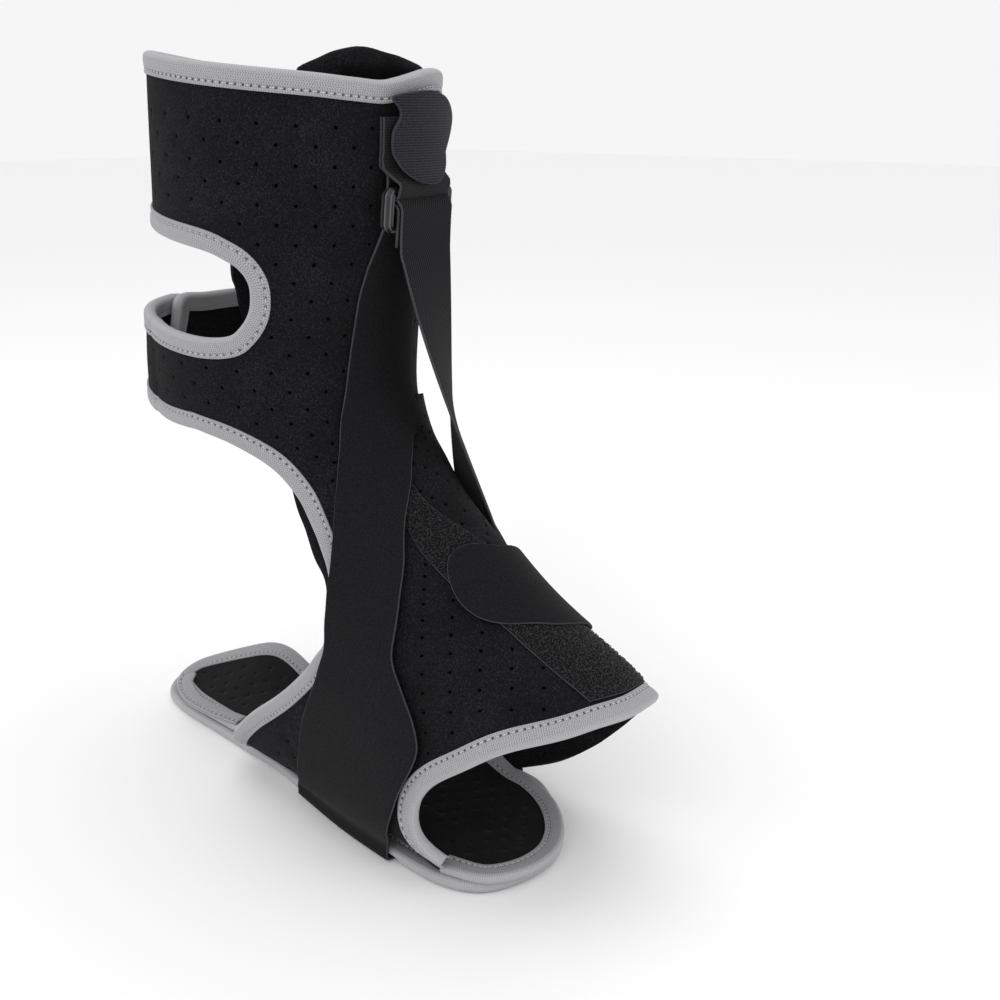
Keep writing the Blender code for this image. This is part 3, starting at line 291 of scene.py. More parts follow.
def edgeGap(p, loop):
    best = np.full(len(p), 1e9)
    for a, b in zip(loop, np.roll(loop, -1, axis=0)):
        d = b - a
        t = np.clip(((p - a) @ d) / max(d @ d, 1e-18), 0, 1)
        best = np.minimum(best, np.linalg.norm(p - a - t[:, None] * d, axis=1))
    return best


# a flat net inside an outline, denser round the extra points and clear of the holes' centres
netClear = 0.55


def netOf(loop, scale, pitch, extra=None, keepOff=None, offBy=0.0):
    scale = np.array(scale)
    flat = loop * scale
    more = np.zeros((0, 2)) if extra is None else extra * scale
    low, high = flat.min(0), flat.max(0)
    rows = np.arange(low[1] + pitch / 2, high[1], pitch * 0.866)
    cols = np.arange(low[0], high[0], pitch)
    grid = np.array([(x + (pitch / 2 if k % 2 else 0), y)
                     for k, y in enumerate(rows) for x in cols])
    grid = grid[insideLoop(grid, flat)]
    grid = grid[edgeGap(grid, flat) > netClear * pitch]
    if keepOff is not None:
        spots = keepOff * scale
        away = np.array([np.min(np.sum((spots - g) ** 2, axis=1)) for g in grid])
        grid = grid[away > offBy ** 2]
    points = np.vstack([flat, more, grid])
    n = len(flat)
    edges = [(i, (i + 1) % n) for i in range(n)]
    out = delaunay_2d_cdt([Vector(p) for p in points], edges, [], 1, 1e-8)
    origin = np.array([o[0] if o else -1 for o in out[3]])
    return np.array([tuple(v) for v in out[0]]) / scale, [list(f) for f in out[2]], origin


def finishPiece(obj, nodes=()):
    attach(obj, "root")
    if nodes:
        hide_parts(*nodes)
    return obj


def meshObject(name, verts, faces, material, uv=None, values=None):
    mesh = bpy.data.meshes.new(name)
    mesh.from_pydata(np.asarray(verts).tolist(), [], faces)
    shell = bmesh.new()
    shell.from_mesh(mesh)
    if all(e.is_manifold for e in shell.edges):
        bmesh.ops.recalc_face_normals(shell, faces=shell.faces)
        if shell.calc_volume(signed=True) < 0:
            bmesh.ops.reverse_faces(shell, faces=shell.faces)
        shell.to_mesh(mesh)
    shell.free()
    mesh.materials.append(material)
    mesh.shade_smooth()
    if uv is not None:
        layer = mesh.uv_layers.new(name="alongAcross")
        corner = np.empty(len(mesh.loops), int)
        mesh.loops.foreach_get("vertex_index", corner)
        layer.uv.foreach_set("vector", np.asarray(uv, float)[corner].ravel())
    for key, value in (values or {}).items():
        mesh.attributes.new(key, "FLOAT", "POINT").data.foreach_set("value", np.asarray(value, float))
    obj = bpy.data.objects.new(name, mesh)
    bpy.context.scene.collection.objects.link(obj)
    return obj


def settled(obj):
    # the evaluated shape becomes a plain mesh and the modifiers go
    deps = bpy.context.evaluated_depsgraph_get()
    mesh = bpy.data.meshes.new_from_object(obj.evaluated_get(deps), preserve_all_data_layers=True,
                                           depsgraph=deps)
    obj.modifiers.clear()
    old = obj.data
    obj.data = mesh
    mesh.name = obj.name
    bpy.data.meshes.remove(old)
    return obj


# a wall of cloth between two heights over a flat outline
def clothPanel(name, loop, scale, pitch, place, low, high, material, holes=None, rounding=0.0,
               shade=None):
    spots = holes["points"] if holes else None
    if rounding:
        spots = np.vstack([insetOf(loop, scale, rounding * gap) for gap in (0.12, 0.45, 1.0)])
    flat, faces, origin = netOf(loop, scale, pitch, spots, holes["centres"] if holes else None,
                                holes["clear"] if holes else 0)
    n = len(flat)
    a, b = flat[:, 0], flat[:, 1]
    lo, hi = low(a, b), high(a, b)
    gap = edgeGap(flat * np.array(scale), loop * np.array(scale))
    if rounding:
        k = np.sqrt(np.maximum(0, 1 - (1 - np.minimum(gap / rounding, 1)) ** 2))
        mid, half = (lo + hi) / 2, (hi - lo) / 2
        lo, hi = mid - half * (0.3 + 0.7 * k), mid + half * (0.3 + 0.7 * k)
    depth = np.zeros(n)
    if holes:
        k = origin - len(loop)
        ok = (k >= 0) & (k < len(holes["depth"]))
        depth[ok] = holes["depth"][k[ok]]
    # values from a shade function stand in place of the hole depths: painted shade, which the material
    # draws near black
    if shade is not None:
        depth = shade(a, b)
    verts = np.vstack([place(a, b, lo), place(a, b, hi)])
    out = [f[::-1] for f in faces] + [[i + n for i in f] for f in faces]
    seen = {(f[i], f[(i + 1) % len(f)]) for f in faces for i in range(len(f))}
    out += [[i, j, j + n, i + n] for i, j in seen if (j, i) not in seen]
    middle = place(a, b, (lo + hi) / 2)
    p, q, r = [verts[i + n] for i in faces[0][:3]]
    if np.dot(np.cross(q - p, r - p), p - middle[faces[0][0]]) < 0:
        out = [f[::-1] for f in out]
    return meshObject(name, verts, out, material,
                      values={"punchDepthAndShade": np.tile(depth, 2), "rimGap": np.tile(gap, 2)})


def turning(loop):
    area = np.sum(loop[:, 0] * np.roll(loop[:, 1], -1) - np.roll(loop[:, 0], -1) * loop[:, 1])
    return 1 if area > 0 else -1


def insetOf(loop, scale, d):
    scale = np.array(scale)
    flat = loop * scale
    run = unit(np.roll(flat, -1, axis=0) - np.roll(flat, 1, axis=0))
    moved = flat + np.stack([-run[:, 1], run[:, 0]], 1) * d * turning(flat)
    ok = insideLoop(moved, flat) & (edgeGap(moved, flat) > 0.8 * d)
    return moved[ok] / scale


def inwardStep(path, place, steps, mid, side, closed):
    ea, eb = steps
    a, b = path[:, 0], path[:, 1]
    if closed:
        p0, p1 = np.roll(path, 1, axis=0), np.roll(path, -1, axis=0)
    else:
        p0, p1 = np.vstack([path[:1], path[:-1]]), np.vstack([path[1:], path[-1:]])
    run = unit(place(p1[:, 0], p1[:, 1], mid) - place(p0[:, 0], p0[:, 1], mid))
    ja = (place(a + ea, b, mid) - place(a - ea, b, mid)) / (2 * ea)
    jb = (place(a, b + eb, mid) - place(a, b - eb, mid)) / (2 * eb)
    up = unit(np.cross(ja, jb))
    into = np.cross(up, run) * side
    aa, ab, bb = np.sum(ja * ja, 1), np.sum(ja * jb, 1), np.sum(jb * jb, 1)
    da, db = np.sum(ja * into, 1), np.sum(jb * into, 1)
    det = aa * bb - ab * ab
    return np.stack([(bb * da - ab * db) / det, (aa * db - ab * da) / det], 1), run, up


# folded binding tape: sewn through 1.9 mm from its inner edge; lengths in mm, and lift says
# how far its face stands off the cloth at each distance from that edge
tapeShape = {
    "width": 8.0,
    "proud": 1.1,
    "thick": 1.14,
    "bead": 1.0,
    "pull": 0.22,
    "stitchInset": 1.9,
    "stitchPitch": 3.2,
    "stitchLength": 2.5,
    "threadWidth": 0.55,
    "lift": [(0.0, 0.25), (0.10, 0.80), (0.60, 0.98), (1.2, 0.88), (1.9, 0.52), (2.6, 0.86),
             (3.9, 1.10), (5.5, 1.18), (7.0, 1.15)],
}


def tubeFaces(rings, sides, closed):
    faces = [[i * sides + c, i * sides + d, j * sides + d, j * sides + c]
             for i in range(rings if closed else rings - 1) for j in ((i + 1) % rings,)
             for c in range(sides) for d in ((c + 1) % sides,)]
    if not closed:
        faces += [list(range(sides))[::-1], [(rings - 1) * sides + c for c in range(sides)]]
    return faces


def bindingTape(name, path, place, steps, low, high, side, closed=False):
    path = np.asarray(path, float)
    n = len(path)
    a, b = path[:, 0], path[:, 1]
    mid = (low(a, b) + high(a, b)) / 2
    step, run, up = inwardStep(path, place, steps, mid, side, closed)
    w, proud, bead = [tapeShape[key] * mm for key in ("width", "proud", "bead")]
    pull = np.where(np.arange(n) % 2 == 0, 1.0, 0.0)

    def spot(s, h, face):
        aa, bb = a + step[:, 0] * s, b + step[:, 1] * s
        lo, hi = low(aa, bb), high(aa, bb)
        base = hi + h if face == "high" else lo - h
        if face == "mid":
            base = (lo + hi) / 2 + h * ((hi - lo) / 2 + tapeShape["thick"] * mm)
        return place(aa, bb, base)

    rings, across = [], []

    def sideRings(face, profile, start, way):
        for inset, lift in profile:
            sewn = tapeShape["pull"] * mm * pull * (abs(inset - tapeShape["stitchInset"]) < 0.1)
            rings.append(spot(w - inset * mm, lift * mm - sewn, face))
            across.append(start + way * inset)

    sideRings("high", tapeShape["lift"], 0.0, 1)
    for angle in (72, 48, 24, 0, -24, -48, -72):
        c, s = math.cos(math.radians(angle)), math.sin(math.radians(angle))
        rings.append(spot(bead - (proud + bead) * c, s, "mid"))
        across.append(tapeShape["width"] + 1.68 * (1 - s))
    sideRings("low", tapeShape["lift"][::-1], 2 * tapeShape["width"] + 3.4, -1)
    for s, face in ((w, "low"), (-0.1 * mm, "low"), (-0.1 * mm, "high"), (w, "high")):
        rings.append(spot(s, 0.06 * mm, face))
        across.append(0.0)
    k = len(rings)
    verts = np.stack(rings, 1)
    uv = np.stack([np.repeat(lengthAlong(place(a, b, mid)), k), np.tile(np.array(across) * mm, n)], 1)
    faces = tubeFaces(n, k, closed)
    volume = np.sum(np.cross(verts[0, 1] - verts[0, 0], verts[0, 8] - verts[0, 0]) * run[0])
    if volume > 0:
        faces = [f[::-1] for f in faces]
    obj = meshObject(name, verts.reshape(-1, 3), faces, bindingMaterial, uv)
    # the thread runs between needle holes on both faces
    rows = []
    for face, facing in (("high", up), ("low", -up)):
        line = spot(w - tapeShape["stitchInset"] * mm, 0.70 * mm, face)
        rows.append((line[1::2], run[1::2], facing[1::2]))
    return obj, rows


# materials
def linear(text):
    out = []
    for k in (1, 3, 5):
        c = int(text[k:k + 2], 16) / 255
        out.append(c / 12.92 if c <= 0.04045 else ((c + 0.055) / 1.055) ** 2.4)
    return (*out, 1.0)


# adds a node: its properties, then its inputs as values or as links
def addNode(tree, kind, settings=None, inputs=None):
    node = tree.nodes.new(kind)
    for key, value in (settings or {}).items():
        setattr(node, key, value)
    for key, value in (inputs or {}).items():
        if isinstance(value, bpy.types.NodeSocket):
            tree.links.new(value, node.inputs[key])
        else:
            node.inputs[key].default_value = value
    return node


def maths(tree, operation, *values, clamp=False):
    return addNode(tree, "ShaderNodeMath", {"operation": operation, "use_clamp": clamp},
                   dict(enumerate(values))).outputs[0]


def noise(tree, where, scale, detail=2.0, roughness=0.5):
    return addNode(tree, "ShaderNodeTexNoise", {}, {
        "Vector": where, "Scale": scale, "Detail": detail, "Roughness": roughness}).outputs["Fac"]


def ranged(tree, value, fromEnds, toEnds, kind="LINEAR"):
    return addNode(tree, "ShaderNodeMapRange", {"interpolation_type": kind}, {
        "Value": value, "From Min": fromEnds[0], "From Max": fromEnds[1],
        "To Min": toEnds[0], "To Max": toEnds[1]}).outputs[0]


def tinted(tree, share, under, over):
    return addNode(tree, "ShaderNodeMix", {"data_type": "RGBA"}, {
        0: share, 6: under, 7: linear(over)}).outputs[2]


def ramped(tree, value, stops):
    ramp = addNode(tree, "ShaderNodeValToRGB", {}, {"Fac": value})
    parts = ramp.color_ramp.elements
    while len(parts) < len(stops):
        parts.new(0.5)
    for part, (place, colour) in zip(parts, stops):
        part.position = place
        part.color = linear(colour)
    return ramp.outputs["Color"]


def named(tree, name):
    return addNode(tree, "ShaderNodeAttribute", {"attribute_name": name}).outputs["Fac"]


def objectPlace(tree):
    return addNode(tree, "ShaderNodeTexCoord").outputs["Object"]


def alongAcross(tree):
    uv = addNode(tree, "ShaderNodeUVMap", {"uv_map": "alongAcross"}).outputs["UV"]
    parts = addNode(tree, "ShaderNodeSeparateXYZ", {}, {"Vector": uv})
    return parts.outputs["X"], parts.outputs["Y"]


def ribs(tree, value, pitch):
    return maths(tree, "SINE", maths(tree, "MULTIPLY", value, 2 * math.pi / (pitch * mm)))


def startMaterial(name, roughness, sheen=0.0, metallic=0.0, specular=0.5):
    material = bpy.data.materials.new(name)
    material.use_nodes = True
    tree = material.node_tree
    shader = tree.nodes["Principled BSDF"]
    for label, value in (("Roughness", roughness), ("Metallic", metallic), ("Sheen Weight", sheen),
                         ("Sheen Roughness", 0.45), ("Specular IOR Level", specular)):
        shader.inputs[label].default_value = value
    return material, tree, shader


# wires the colour, and a height in mm that the light picks out
def dress(tree, shader, colour, height=None, distance=0.0, strength=0.0):
    tree.links.new(colour, shader.inputs["Base Color"])
    if height is not None:
        bump = addNode(tree, "ShaderNodeBump", {}, {
            "Height": height, "Distance": distance * mm, "Strength": strength})
        tree.links.new(bump.outputs["Normal"], shader.inputs["Normal"])


# brushed jersey bonded to 3.5 mm chloroprene foam: matt black, flecked where the pile catches light
jerseyLook = {"flecks": 0.75, "pile": 0.42, "patches": 26.0, "patchShare": 0.22, "bump": 0.30,
              "dark": "#0b0b0c", "body": "#141416", "fleck": "#303034", "paintedShade": "#010101",
              "sheen": "#b8b8be"}


def jerseyMaterial():
    material, tree, shader = startMaterial("brushedJerseyNeoprene", 0.95, 0.03, 0.0, 0.10)
    shader.inputs["Sheen Tint"].default_value = linear(jerseyLook["sheen"])
    where = objectPlace(tree)
    flecks = noise(tree, where, 1 / (jerseyLook["flecks"] * mm), 3.0, 0.7)
    pile = addNode(tree, "ShaderNodeTexVoronoi", {"feature": "F1"}, {
        "Vector": where, "Scale": 1 / (jerseyLook["pile"] * mm)}).outputs["Distance"]
    patches = noise(tree, where, 1 / (jerseyLook["patches"] * mm))
    tone = ramped(tree, maths(tree, "MULTIPLY_ADD", patches, jerseyLook["patchShare"], flecks), [
        (0.40, jerseyLook["dark"]), (0.62, jerseyLook["body"]), (0.86, jerseyLook["fleck"])])
    # painted shade: near black where the punch attribute is set, in the perforations' cups and along the
    # sleeve's pocket mouth
    edge = maths(tree, "MULTIPLY", named(tree, "punchDepthAndShade"), 1.6, clamp=True)
    dress(tree, shader, tinted(tree, edge, tone, jerseyLook["paintedShade"]),
          maths(tree, "ADD", flecks, pile), jerseyLook["bump"], 0.8)
    return material


# smooth warp-knit lining on the sole lobes, pin-holed
liningLook = {"knit": 0.8, "wide": 45.0, "bump": 0.08, "dark": "#121213", "light": "#1b1b1d",
              "paintedShade": "#020202"}


def liningMaterial():
    material, tree, shader = startMaterial("smoothKnitLining", 0.82, 0.03, 0.0, 0.12)
    where = objectPlace(tree)
    knit = noise(tree, where, 1 / (liningLook["knit"] * mm))
    both = maths(tree, "MULTIPLY_ADD", noise(tree, where, liningLook["wide"]), 0.5, knit)
    tone = ramped(tree, both, [(0.55, liningLook["dark"]), (0.95, liningLook["light"])])
    # painted shade: near black in the pin holes, where the punch attribute is set
    dress(tree, shader, tinted(tree, named(tree, "punchDepthAndShade"), tone, liningLook["paintedShade"]),
          knit, liningLook["bump"], 0.6)
    return material


# ribbed polyester binding, folded over the raw edge and sewn through; its ribs are drawn
# about twice as coarse as real ones, so that they show at this distance
bindingLook = {"rib": 1.0, "course": 0.95, "wale": 0.9, "slant": 0.55, "yarn": 1900.0, "bump": 0.22,
               "holeRadius": 0.42, "valley": "#727275", "crest": "#a6a6a9", "lip": "#b6b6b8",
               "paintedShade": "#2a2a2c"}


def bindingMaterialMade():
    material, tree, shader = startMaterial("ribbedPolyesterBinding", 0.80, 0.10, 0.0, 0.25)
    along, across = alongAcross(tree)
    yarn = noise(tree, objectPlace(tree), bindingLook["yarn"])
    # each rib leans one way, then the other, like a knitted wale
    lean = maths(tree, "PINGPONG", across, bindingLook["wale"] * mm)
    wave = ribs(tree, maths(tree, "MULTIPLY_ADD", lean, bindingLook["slant"], along), bindingLook["rib"])
    weave = maths(tree, "MULTIPLY_ADD", ribs(tree, across, bindingLook["course"]), 0.45, wave)
    level = ranged(tree, weave, (-1.45, 1.45), (0.0, 1.0))
    grain = maths(tree, "MULTIPLY_ADD", yarn, 0.7, level)
    tone = ramped(tree, grain, [(0.30, bindingLook["valley"]), (0.95, bindingLook["crest"])])
    lip = ranged(tree, across, ((tapeShape["width"] - 1.0) * mm, (tapeShape["width"] + 0.9) * mm),
                 (0.0, 0.5), "SMOOTHSTEP")
    # needle holes along the sewn groove, painted dark as shade in the pits
    near = maths(tree, "PINGPONG", along, tapeShape["stitchPitch"] * mm / 2)
    off = maths(tree, "SUBTRACT", across, tapeShape["stitchInset"] * mm)
    spot = addNode(tree, "ShaderNodeCombineXYZ", {}, {"X": near, "Y": off}).outputs[0]
    reach = addNode(tree, "ShaderNodeVectorMath", {"operation": "LENGTH"}, {0: spot}).outputs["Value"]
    paintedShade = ranged(tree, reach, (0.25 * mm, bindingLook["holeRadius"] * 2 * mm), (0.85, 0.0), "SMOOTHSTEP")
    dress(tree, shader, tinted(tree, paintedShade, tinted(tree, lip, tone, bindingLook["lip"]),
                               bindingLook["paintedShade"]), grain, bindingLook["bump"], 0.75)
    return material


# spun polyester sewing thread, a tone lighter than the tape
threadLook = {"twist": 2400.0, "dark": "#9d9da0", "light": "#d0d0d2"}


def threadMaterial():
    material, tree, shader = startMaterial("spunPolyesterThread", 0.6, 0.1, 0.0, 0.3)
    twist = noise(tree, objectPlace(tree), threadLook["twist"])
    dress(tree, shader, ramped(tree, twist, [(0.3, threadLook["dark"]), (0.7, threadLook["light"])]))
    return material


# loop velour strap: short pile one way, a twill back, pale heat-cut edges; the twill is drawn
# about twice as coarse as real, so that its diagonal shows
strapLook = {"pile": 0.55, "twill": 1.6, "lean": 0.8, "bump": 0.22, "body": "#101011",
             "fleck": "#29292d", "cut": "#4c4c50", "twillDark": "#0c0c0d", "twillLight": "#252528"}


def strapMaterialMade():
    material, tree, shader = startMaterial("velourStrapping", 0.92, 0.03, 0.0, 0.10)
    along, across = alongAcross(tree)
    pile = noise(tree, objectPlace(tree), 1 / (strapLook["pile"] * mm), 4.0, 0.75)
    velour = ramped(tree, pile, [(0.42, strapLook["body"]), (0.80, strapLook["fleck"])])
    lean = maths(tree, "MULTIPLY_ADD", along, strapLook["lean"], across)
    level = ranged(tree, ribs(tree, lean, strapLook["twill"]), (-1.0, 1.0), (0.0, 1.0))
    twill = tinted(tree, level, linear(strapLook["twillDark"]), strapLook["twillLight"])
    side = named(tree, "twillSide")
    faces = addNode(tree, "ShaderNodeMix", {"data_type": "RGBA"}, {0: side, 6: velour, 7: twill})
    cut = ranged(tree, named(tree, "rimGap"), (0.05 * mm, 0.45 * mm), (0.7, 0.0), "SMOOTHSTEP")
    height = addNode(tree, "ShaderNodeMix", {"data_type": "FLOAT"}, {0: side, 2: pile, 3: level})
    dress(tree, shader, tinted(tree, cut, faces.outputs[2], strapLook["cut"]),
          height.outputs[0], strapLook["bump"], 0.7)
    return material


# woven nylon tape in close level rows, as hooks or as ribs; the rows are drawn at real pitch
rowLook = {"row": 1.05, "wobble": 420.0, "wander": 0.35, "yarn": 1500.0, "bump": 0.25}


def rowedMaterial(name, dark, light, cutEdge):
    material, tree, shader = startMaterial(name, 0.78, 0.04, 0.0, 0.2)
    where = objectPlace(tree)
    level = addNode(tree, "ShaderNodeSeparateXYZ", {}, {"Vector": where}).outputs["Z"]
    wobble = noise(tree, where, rowLook["wobble"])
    height = maths(tree, "MULTIPLY_ADD", wobble, rowLook["wander"] * mm, level)
    yarn = noise(tree, where, rowLook["yarn"])
    weave = maths(tree, "MULTIPLY_ADD", ribs(tree, height, rowLook["row"]), 0.20, yarn)
    cut = ranged(tree, named(tree, "rimGap"), (0.05 * mm, 0.5 * mm), (0.6, 0.0), "SMOOTHSTEP")
    dress(tree, shader, tinted(tree, cut, ramped(tree, weave, [(0.30, dark), (0.80, light)]), cutEdge),
          weave, rowLook["bump"], 0.8)
    return material


# nylon loop pile: near black, with a dull gleam on each loop
pileLook = {"tone": 700.0, "dark": "#0e0e0f", "light": "#2f2f32"}


def loopMaterial():
    material, tree, shader = startMaterial("nylonLoopPile", 0.45, 0.05, 0.0, 0.5)
    tone = noise(tree, objectPlace(tree), pileLook["tone"], 1.0)
    dress(tree, shader, ramped(tree, tone, [(0.35, pileLook["dark"]), (0.7, pileLook["light"])]))
    return material


# moulded acetal ring: satin black, faintly orange-peeled, its ridge crests painted paler as a highlight
ringLook = {"body": "#141415", "crest": "#5c5c5f", "peel": 900.0, "bump": 0.03, "ior": 1.48}


def ringMaterial():
    material, tree, shader = startMaterial("satinMouldedAcetal", 0.34)
    shader.inputs["IOR"].default_value = ringLook["ior"]
    peel = noise(tree, objectPlace(tree), ringLook["peel"])
    tree.links.new(ranged(tree, peel, (0.0, 1.0), (0.28, 0.42)), shader.inputs["Roughness"])
    # painted highlight: paler where the attribute marks the flute crests
    dress(tree, shader, tinted(tree, named(tree, "crestHighlight"), linear(ringLook["body"]), ringLook["crest"]),
          peel, ringLook["bump"], 0.4)
    return material


# rolled aluminium, brushed along its length
metalLook = {"dark": "#b9b9bb", "light": "#e4e4e6", "bump": 0.04}


def aluminiumMaterial(name, stretch):
    material, tree, shader = startMaterial(name, 0.34, 0.0, 1.0)
    drawn = addNode(tree, "ShaderNodeMapping", {}, {"Vector": objectPlace(tree), "Scale": stretch})
    grain = noise(tree, drawn.outputs[0], 1.0, 5.0, 0.6)
    tree.links.new(ranged(tree, grain, (0.0, 1.0), (0.26, 0.46)), shader.inputs["Roughness"])
    dress(tree, shader, ramped(tree, grain, [(0.3, metalLook["dark"]), (0.7, metalLook["light"])]),
          grain, metalLook["bump"], 0.5)
    return material


jersey = jerseyMaterial()
lining = liningMaterial()
bindingMaterial = bindingMaterialMade()
thread = threadMaterial()
strapCloth = strapMaterialMade()
hookTape = rowedMaterial("nylonHookTape", "#0c0c0f", "#2d2c36", "#3f3f45")
ribbedWebbing = rowedMaterial("ribbedNylonWebbing", "#070708", "#1c1c1f", "#4a4a4e")
loopPile = loopMaterial()
acetal = ringMaterial()
barMetal = aluminiumMaterial("brushedAluminiumBar", (900.0, 900.0, 22.0))
plateMetal = aluminiumMaterial("brushedAluminiumPlate", (22.0, 900.0, 900.0))
print("materials made")


# Geometry Nodes for what repeats
def startTree(name, wanted):
    tree = bpy.data.node_groups.new(name, "GeometryNodeTree")
    tree.interface.new_socket("Geometry", in_out="INPUT", socket_type="NodeSocketGeometry")
    tree.interface.new_socket("Geometry", in_out="OUTPUT", socket_type="NodeSocketGeometry")
    for label, (kind, value) in wanted.items():
        socket = tree.interface.new_socket(label, in_out="INPUT", socket_type="NodeSocket" + kind)
        if value is not None:
            socket.default_value = value
    return tree, tree.nodes.new("NodeGroupInput"), tree.nodes.new("NodeGroupOutput")


def endTree(tree, start, end, geometry):
    real = addNode(tree, "GeometryNodeRealizeInstances", {}, {"Geometry": geometry})
    painted = addNode(tree, "GeometryNodeSetMaterial", {}, {
        "Geometry": real.outputs[0], "Material": start.outputs["Material"]})
    tree.links.new(painted.outputs[0], end.inputs[0])


def runTree(obj, tree, values):
    modifier = obj.modifiers.new(tree.name, "NODES")
    modifier.node_group = tree
    for item in tree.interface.items_tree:
        if item.item_type == "SOCKET" and item.in_out == "INPUT" and item.name in values:
            modifier[item.identifier] = values[item.name]
    return settled(obj)


# holes punched through the cloth: marked points go in along the surface's own normal
def punchTree():
    tree, start, end = startTree("punchedHoles", {
        "Depth": ("Float", 1.5 * mm), "Material": ("Material", None)})
    mark = addNode(tree, "GeometryNodeInputNamedAttribute", {"data_type": "FLOAT"}, {"Name": "punchDepthAndShade"})
    normal = addNode(tree, "GeometryNodeInputNormal")
    deep = maths(tree, "MULTIPLY", mark.outputs[0], start.outputs["Depth"])
    move = addNode(tree, "ShaderNodeVectorMath", {"operation": "SCALE"}, {
        0: normal.outputs[0], "Scale": maths(tree, "MULTIPLY", deep, -1.0)})
    pushed = addNode(tree, "GeometryNodeSetPosition", {}, {
        "Geometry": start.outputs[0], "Offset": move.outputs[0]})
    endTree(tree, start, end, pushed.outputs[0])
    return tree


# one short run of thread at each point, laid along the seam
def stitchTree():
    tree, start, end = startTree("stitchRow", {
        "Stitch length": ("Float", 2.5 * mm), "Thread width": ("Float", 0.5 * mm),
        "Material": ("Material", None)})
    ball = addNode(tree, "GeometryNodeMeshUVSphere", {}, {"Segments": 8, "Rings": 6, "Radius": 0.5})
    size = addNode(tree, "ShaderNodeCombineXYZ", {}, {
        "X": start.outputs["Stitch length"], "Y": start.outputs["Thread width"],
        "Z": start.outputs["Thread width"]})
    shaped = addNode(tree, "GeometryNodeTransform", {}, {
        "Geometry": ball.outputs[0], "Scale": size.outputs[0]})
    along, out = [addNode(tree, "GeometryNodeInputNamedAttribute", {"data_type": "FLOAT_VECTOR"}, {
        "Name": label}).outputs[0] for label in ("seamWay", "clothFace")]
    turned = addNode(tree, "FunctionNodeAlignRotationToVector", {"axis": "X"}, {"Vector": along})
    faced = addNode(tree, "FunctionNodeAlignRotationToVector", {"axis": "Z", "pivot_axis": "X"}, {
        "Rotation": turned.outputs[0], "Vector": out})
    placed = addNode(tree, "GeometryNodeInstanceOnPoints", {}, {
        "Points": start.outputs[0], "Instance": shaped.outputs[0], "Rotation": faced.outputs[0]})
    endTree(tree, start, end, placed.outputs[0])
    return tree


# a pile of small open loops scattered over the faces
def pileTree():
    tree, start, end = startTree("loopPile", {
        "Loops per square metre": ("Float", 500000.0), "Loop radius": ("Float", 0.7 * mm),
        "Yarn radius": ("Float", 0.13 * mm), "Seed": ("Int", 4), "Material": ("Material", None)})
    spread = addNode(tree, "GeometryNodeDistributePointsOnFaces", {"distribute_method": "RANDOM"}, {
        "Mesh": start.outputs[0],
        "Density": start.outputs["Loops per square metre"], "Seed": start.outputs["Seed"]})
    ring = addNode(tree, "GeometryNodeCurveArc", {"mode": "RADIUS"}, {
        "Resolution": 7, "Radius": start.outputs["Loop radius"], "Start Angle": -0.5,
        "Sweep Angle": math.pi + 1.0})
    yarn = addNode(tree, "GeometryNodeCurvePrimitiveCircle", {"mode": "RADIUS"}, {
        "Resolution": 3, "Radius": start.outputs["Yarn radius"]})
    tube = addNode(tree, "GeometryNodeCurveToMesh", {}, {
        "Curve": ring.outputs[0], "Profile Curve": yarn.outputs[0], "Fill Caps": True})
    upright = addNode(tree, "GeometryNodeTransform", {}, {
        "Geometry": tube.outputs[0], "Rotation": (math.pi / 2, 0, 0)})
    turn = addNode(tree, "FunctionNodeRandomValue", {"data_type": "FLOAT_VECTOR"}, {
        "Min": (-0.5, -0.5, 0.0), "Max": (0.5, 0.5, 6.28), "Seed": start.outputs["Seed"]})
    spin = addNode(tree, "FunctionNodeEulerToRotation", {}, {0: turn.outputs[0]})
    both = addNode(tree, "FunctionNodeRotateRotation", {"rotation_space": "LOCAL"}, {
        "Rotation": spread.outputs["Rotation"], "Rotate By": spin.outputs[0]})
    grow = addNode(tree, "FunctionNodeRandomValue", {"data_type": "FLOAT"}, {
        2: 0.65, 3: 1.25, "Seed": start.outputs["Seed"]})
    placed = addNode(tree, "GeometryNodeInstanceOnPoints", {}, {
        "Points": spread.outputs["Points"], "Instance": upright.outputs[0],
        "Rotation": both.outputs[0], "Scale": grow.outputs[1]})
    endTree(tree, start, end, placed.outputs[0])
    return tree


punchedHoles = punchTree()
stitchRow = stitchTree()
loopScatter = pileTree()


def sewnRow(name, rows):
    # rows of (points, seam direction, cloth normal)
    points = np.vstack([r[0] for r in rows])
    mesh = bpy.data.meshes.new(name)
    mesh.from_pydata(points.tolist(), [], [])
    for key, k in (("seamWay", 1), ("clothFace", 2)):
        data = np.vstack([r[k] for r in rows])
        mesh.attributes.new(key, "FLOAT_VECTOR", "POINT").data.foreach_set("vector", data.ravel())
    obj = bpy.data.objects.new(name, mesh)
    bpy.context.scene.collection.objects.link(obj)
    return runTree(obj, stitchRow, {
        "Stitch length": tapeShape["stitchLength"] * mm, "Thread width": tapeShape["threadWidth"] * mm,
        "Material": thread})


# leg half and forefoot half: perforated cloth, bound edges, sewn seam
cloth = boot["cloth"] * mm

# how far each flap stands off the boot, mm, and the degrees where it starts and over which it rises;
# then the sections that part the upper flap, the lower one and the heel
flaps = {"upper": (6.0, 158, 56), "lower": (5.0, 110, 42), "far": (-2.6, 140, 18), "from": 120,
         "upperEnd": 2.75, "lowerEnd": 6.5, "farEnd": 6.0}


def flapLift(key, u):
    height, *pair = flaps[key]
    return height * rise(u, pair)


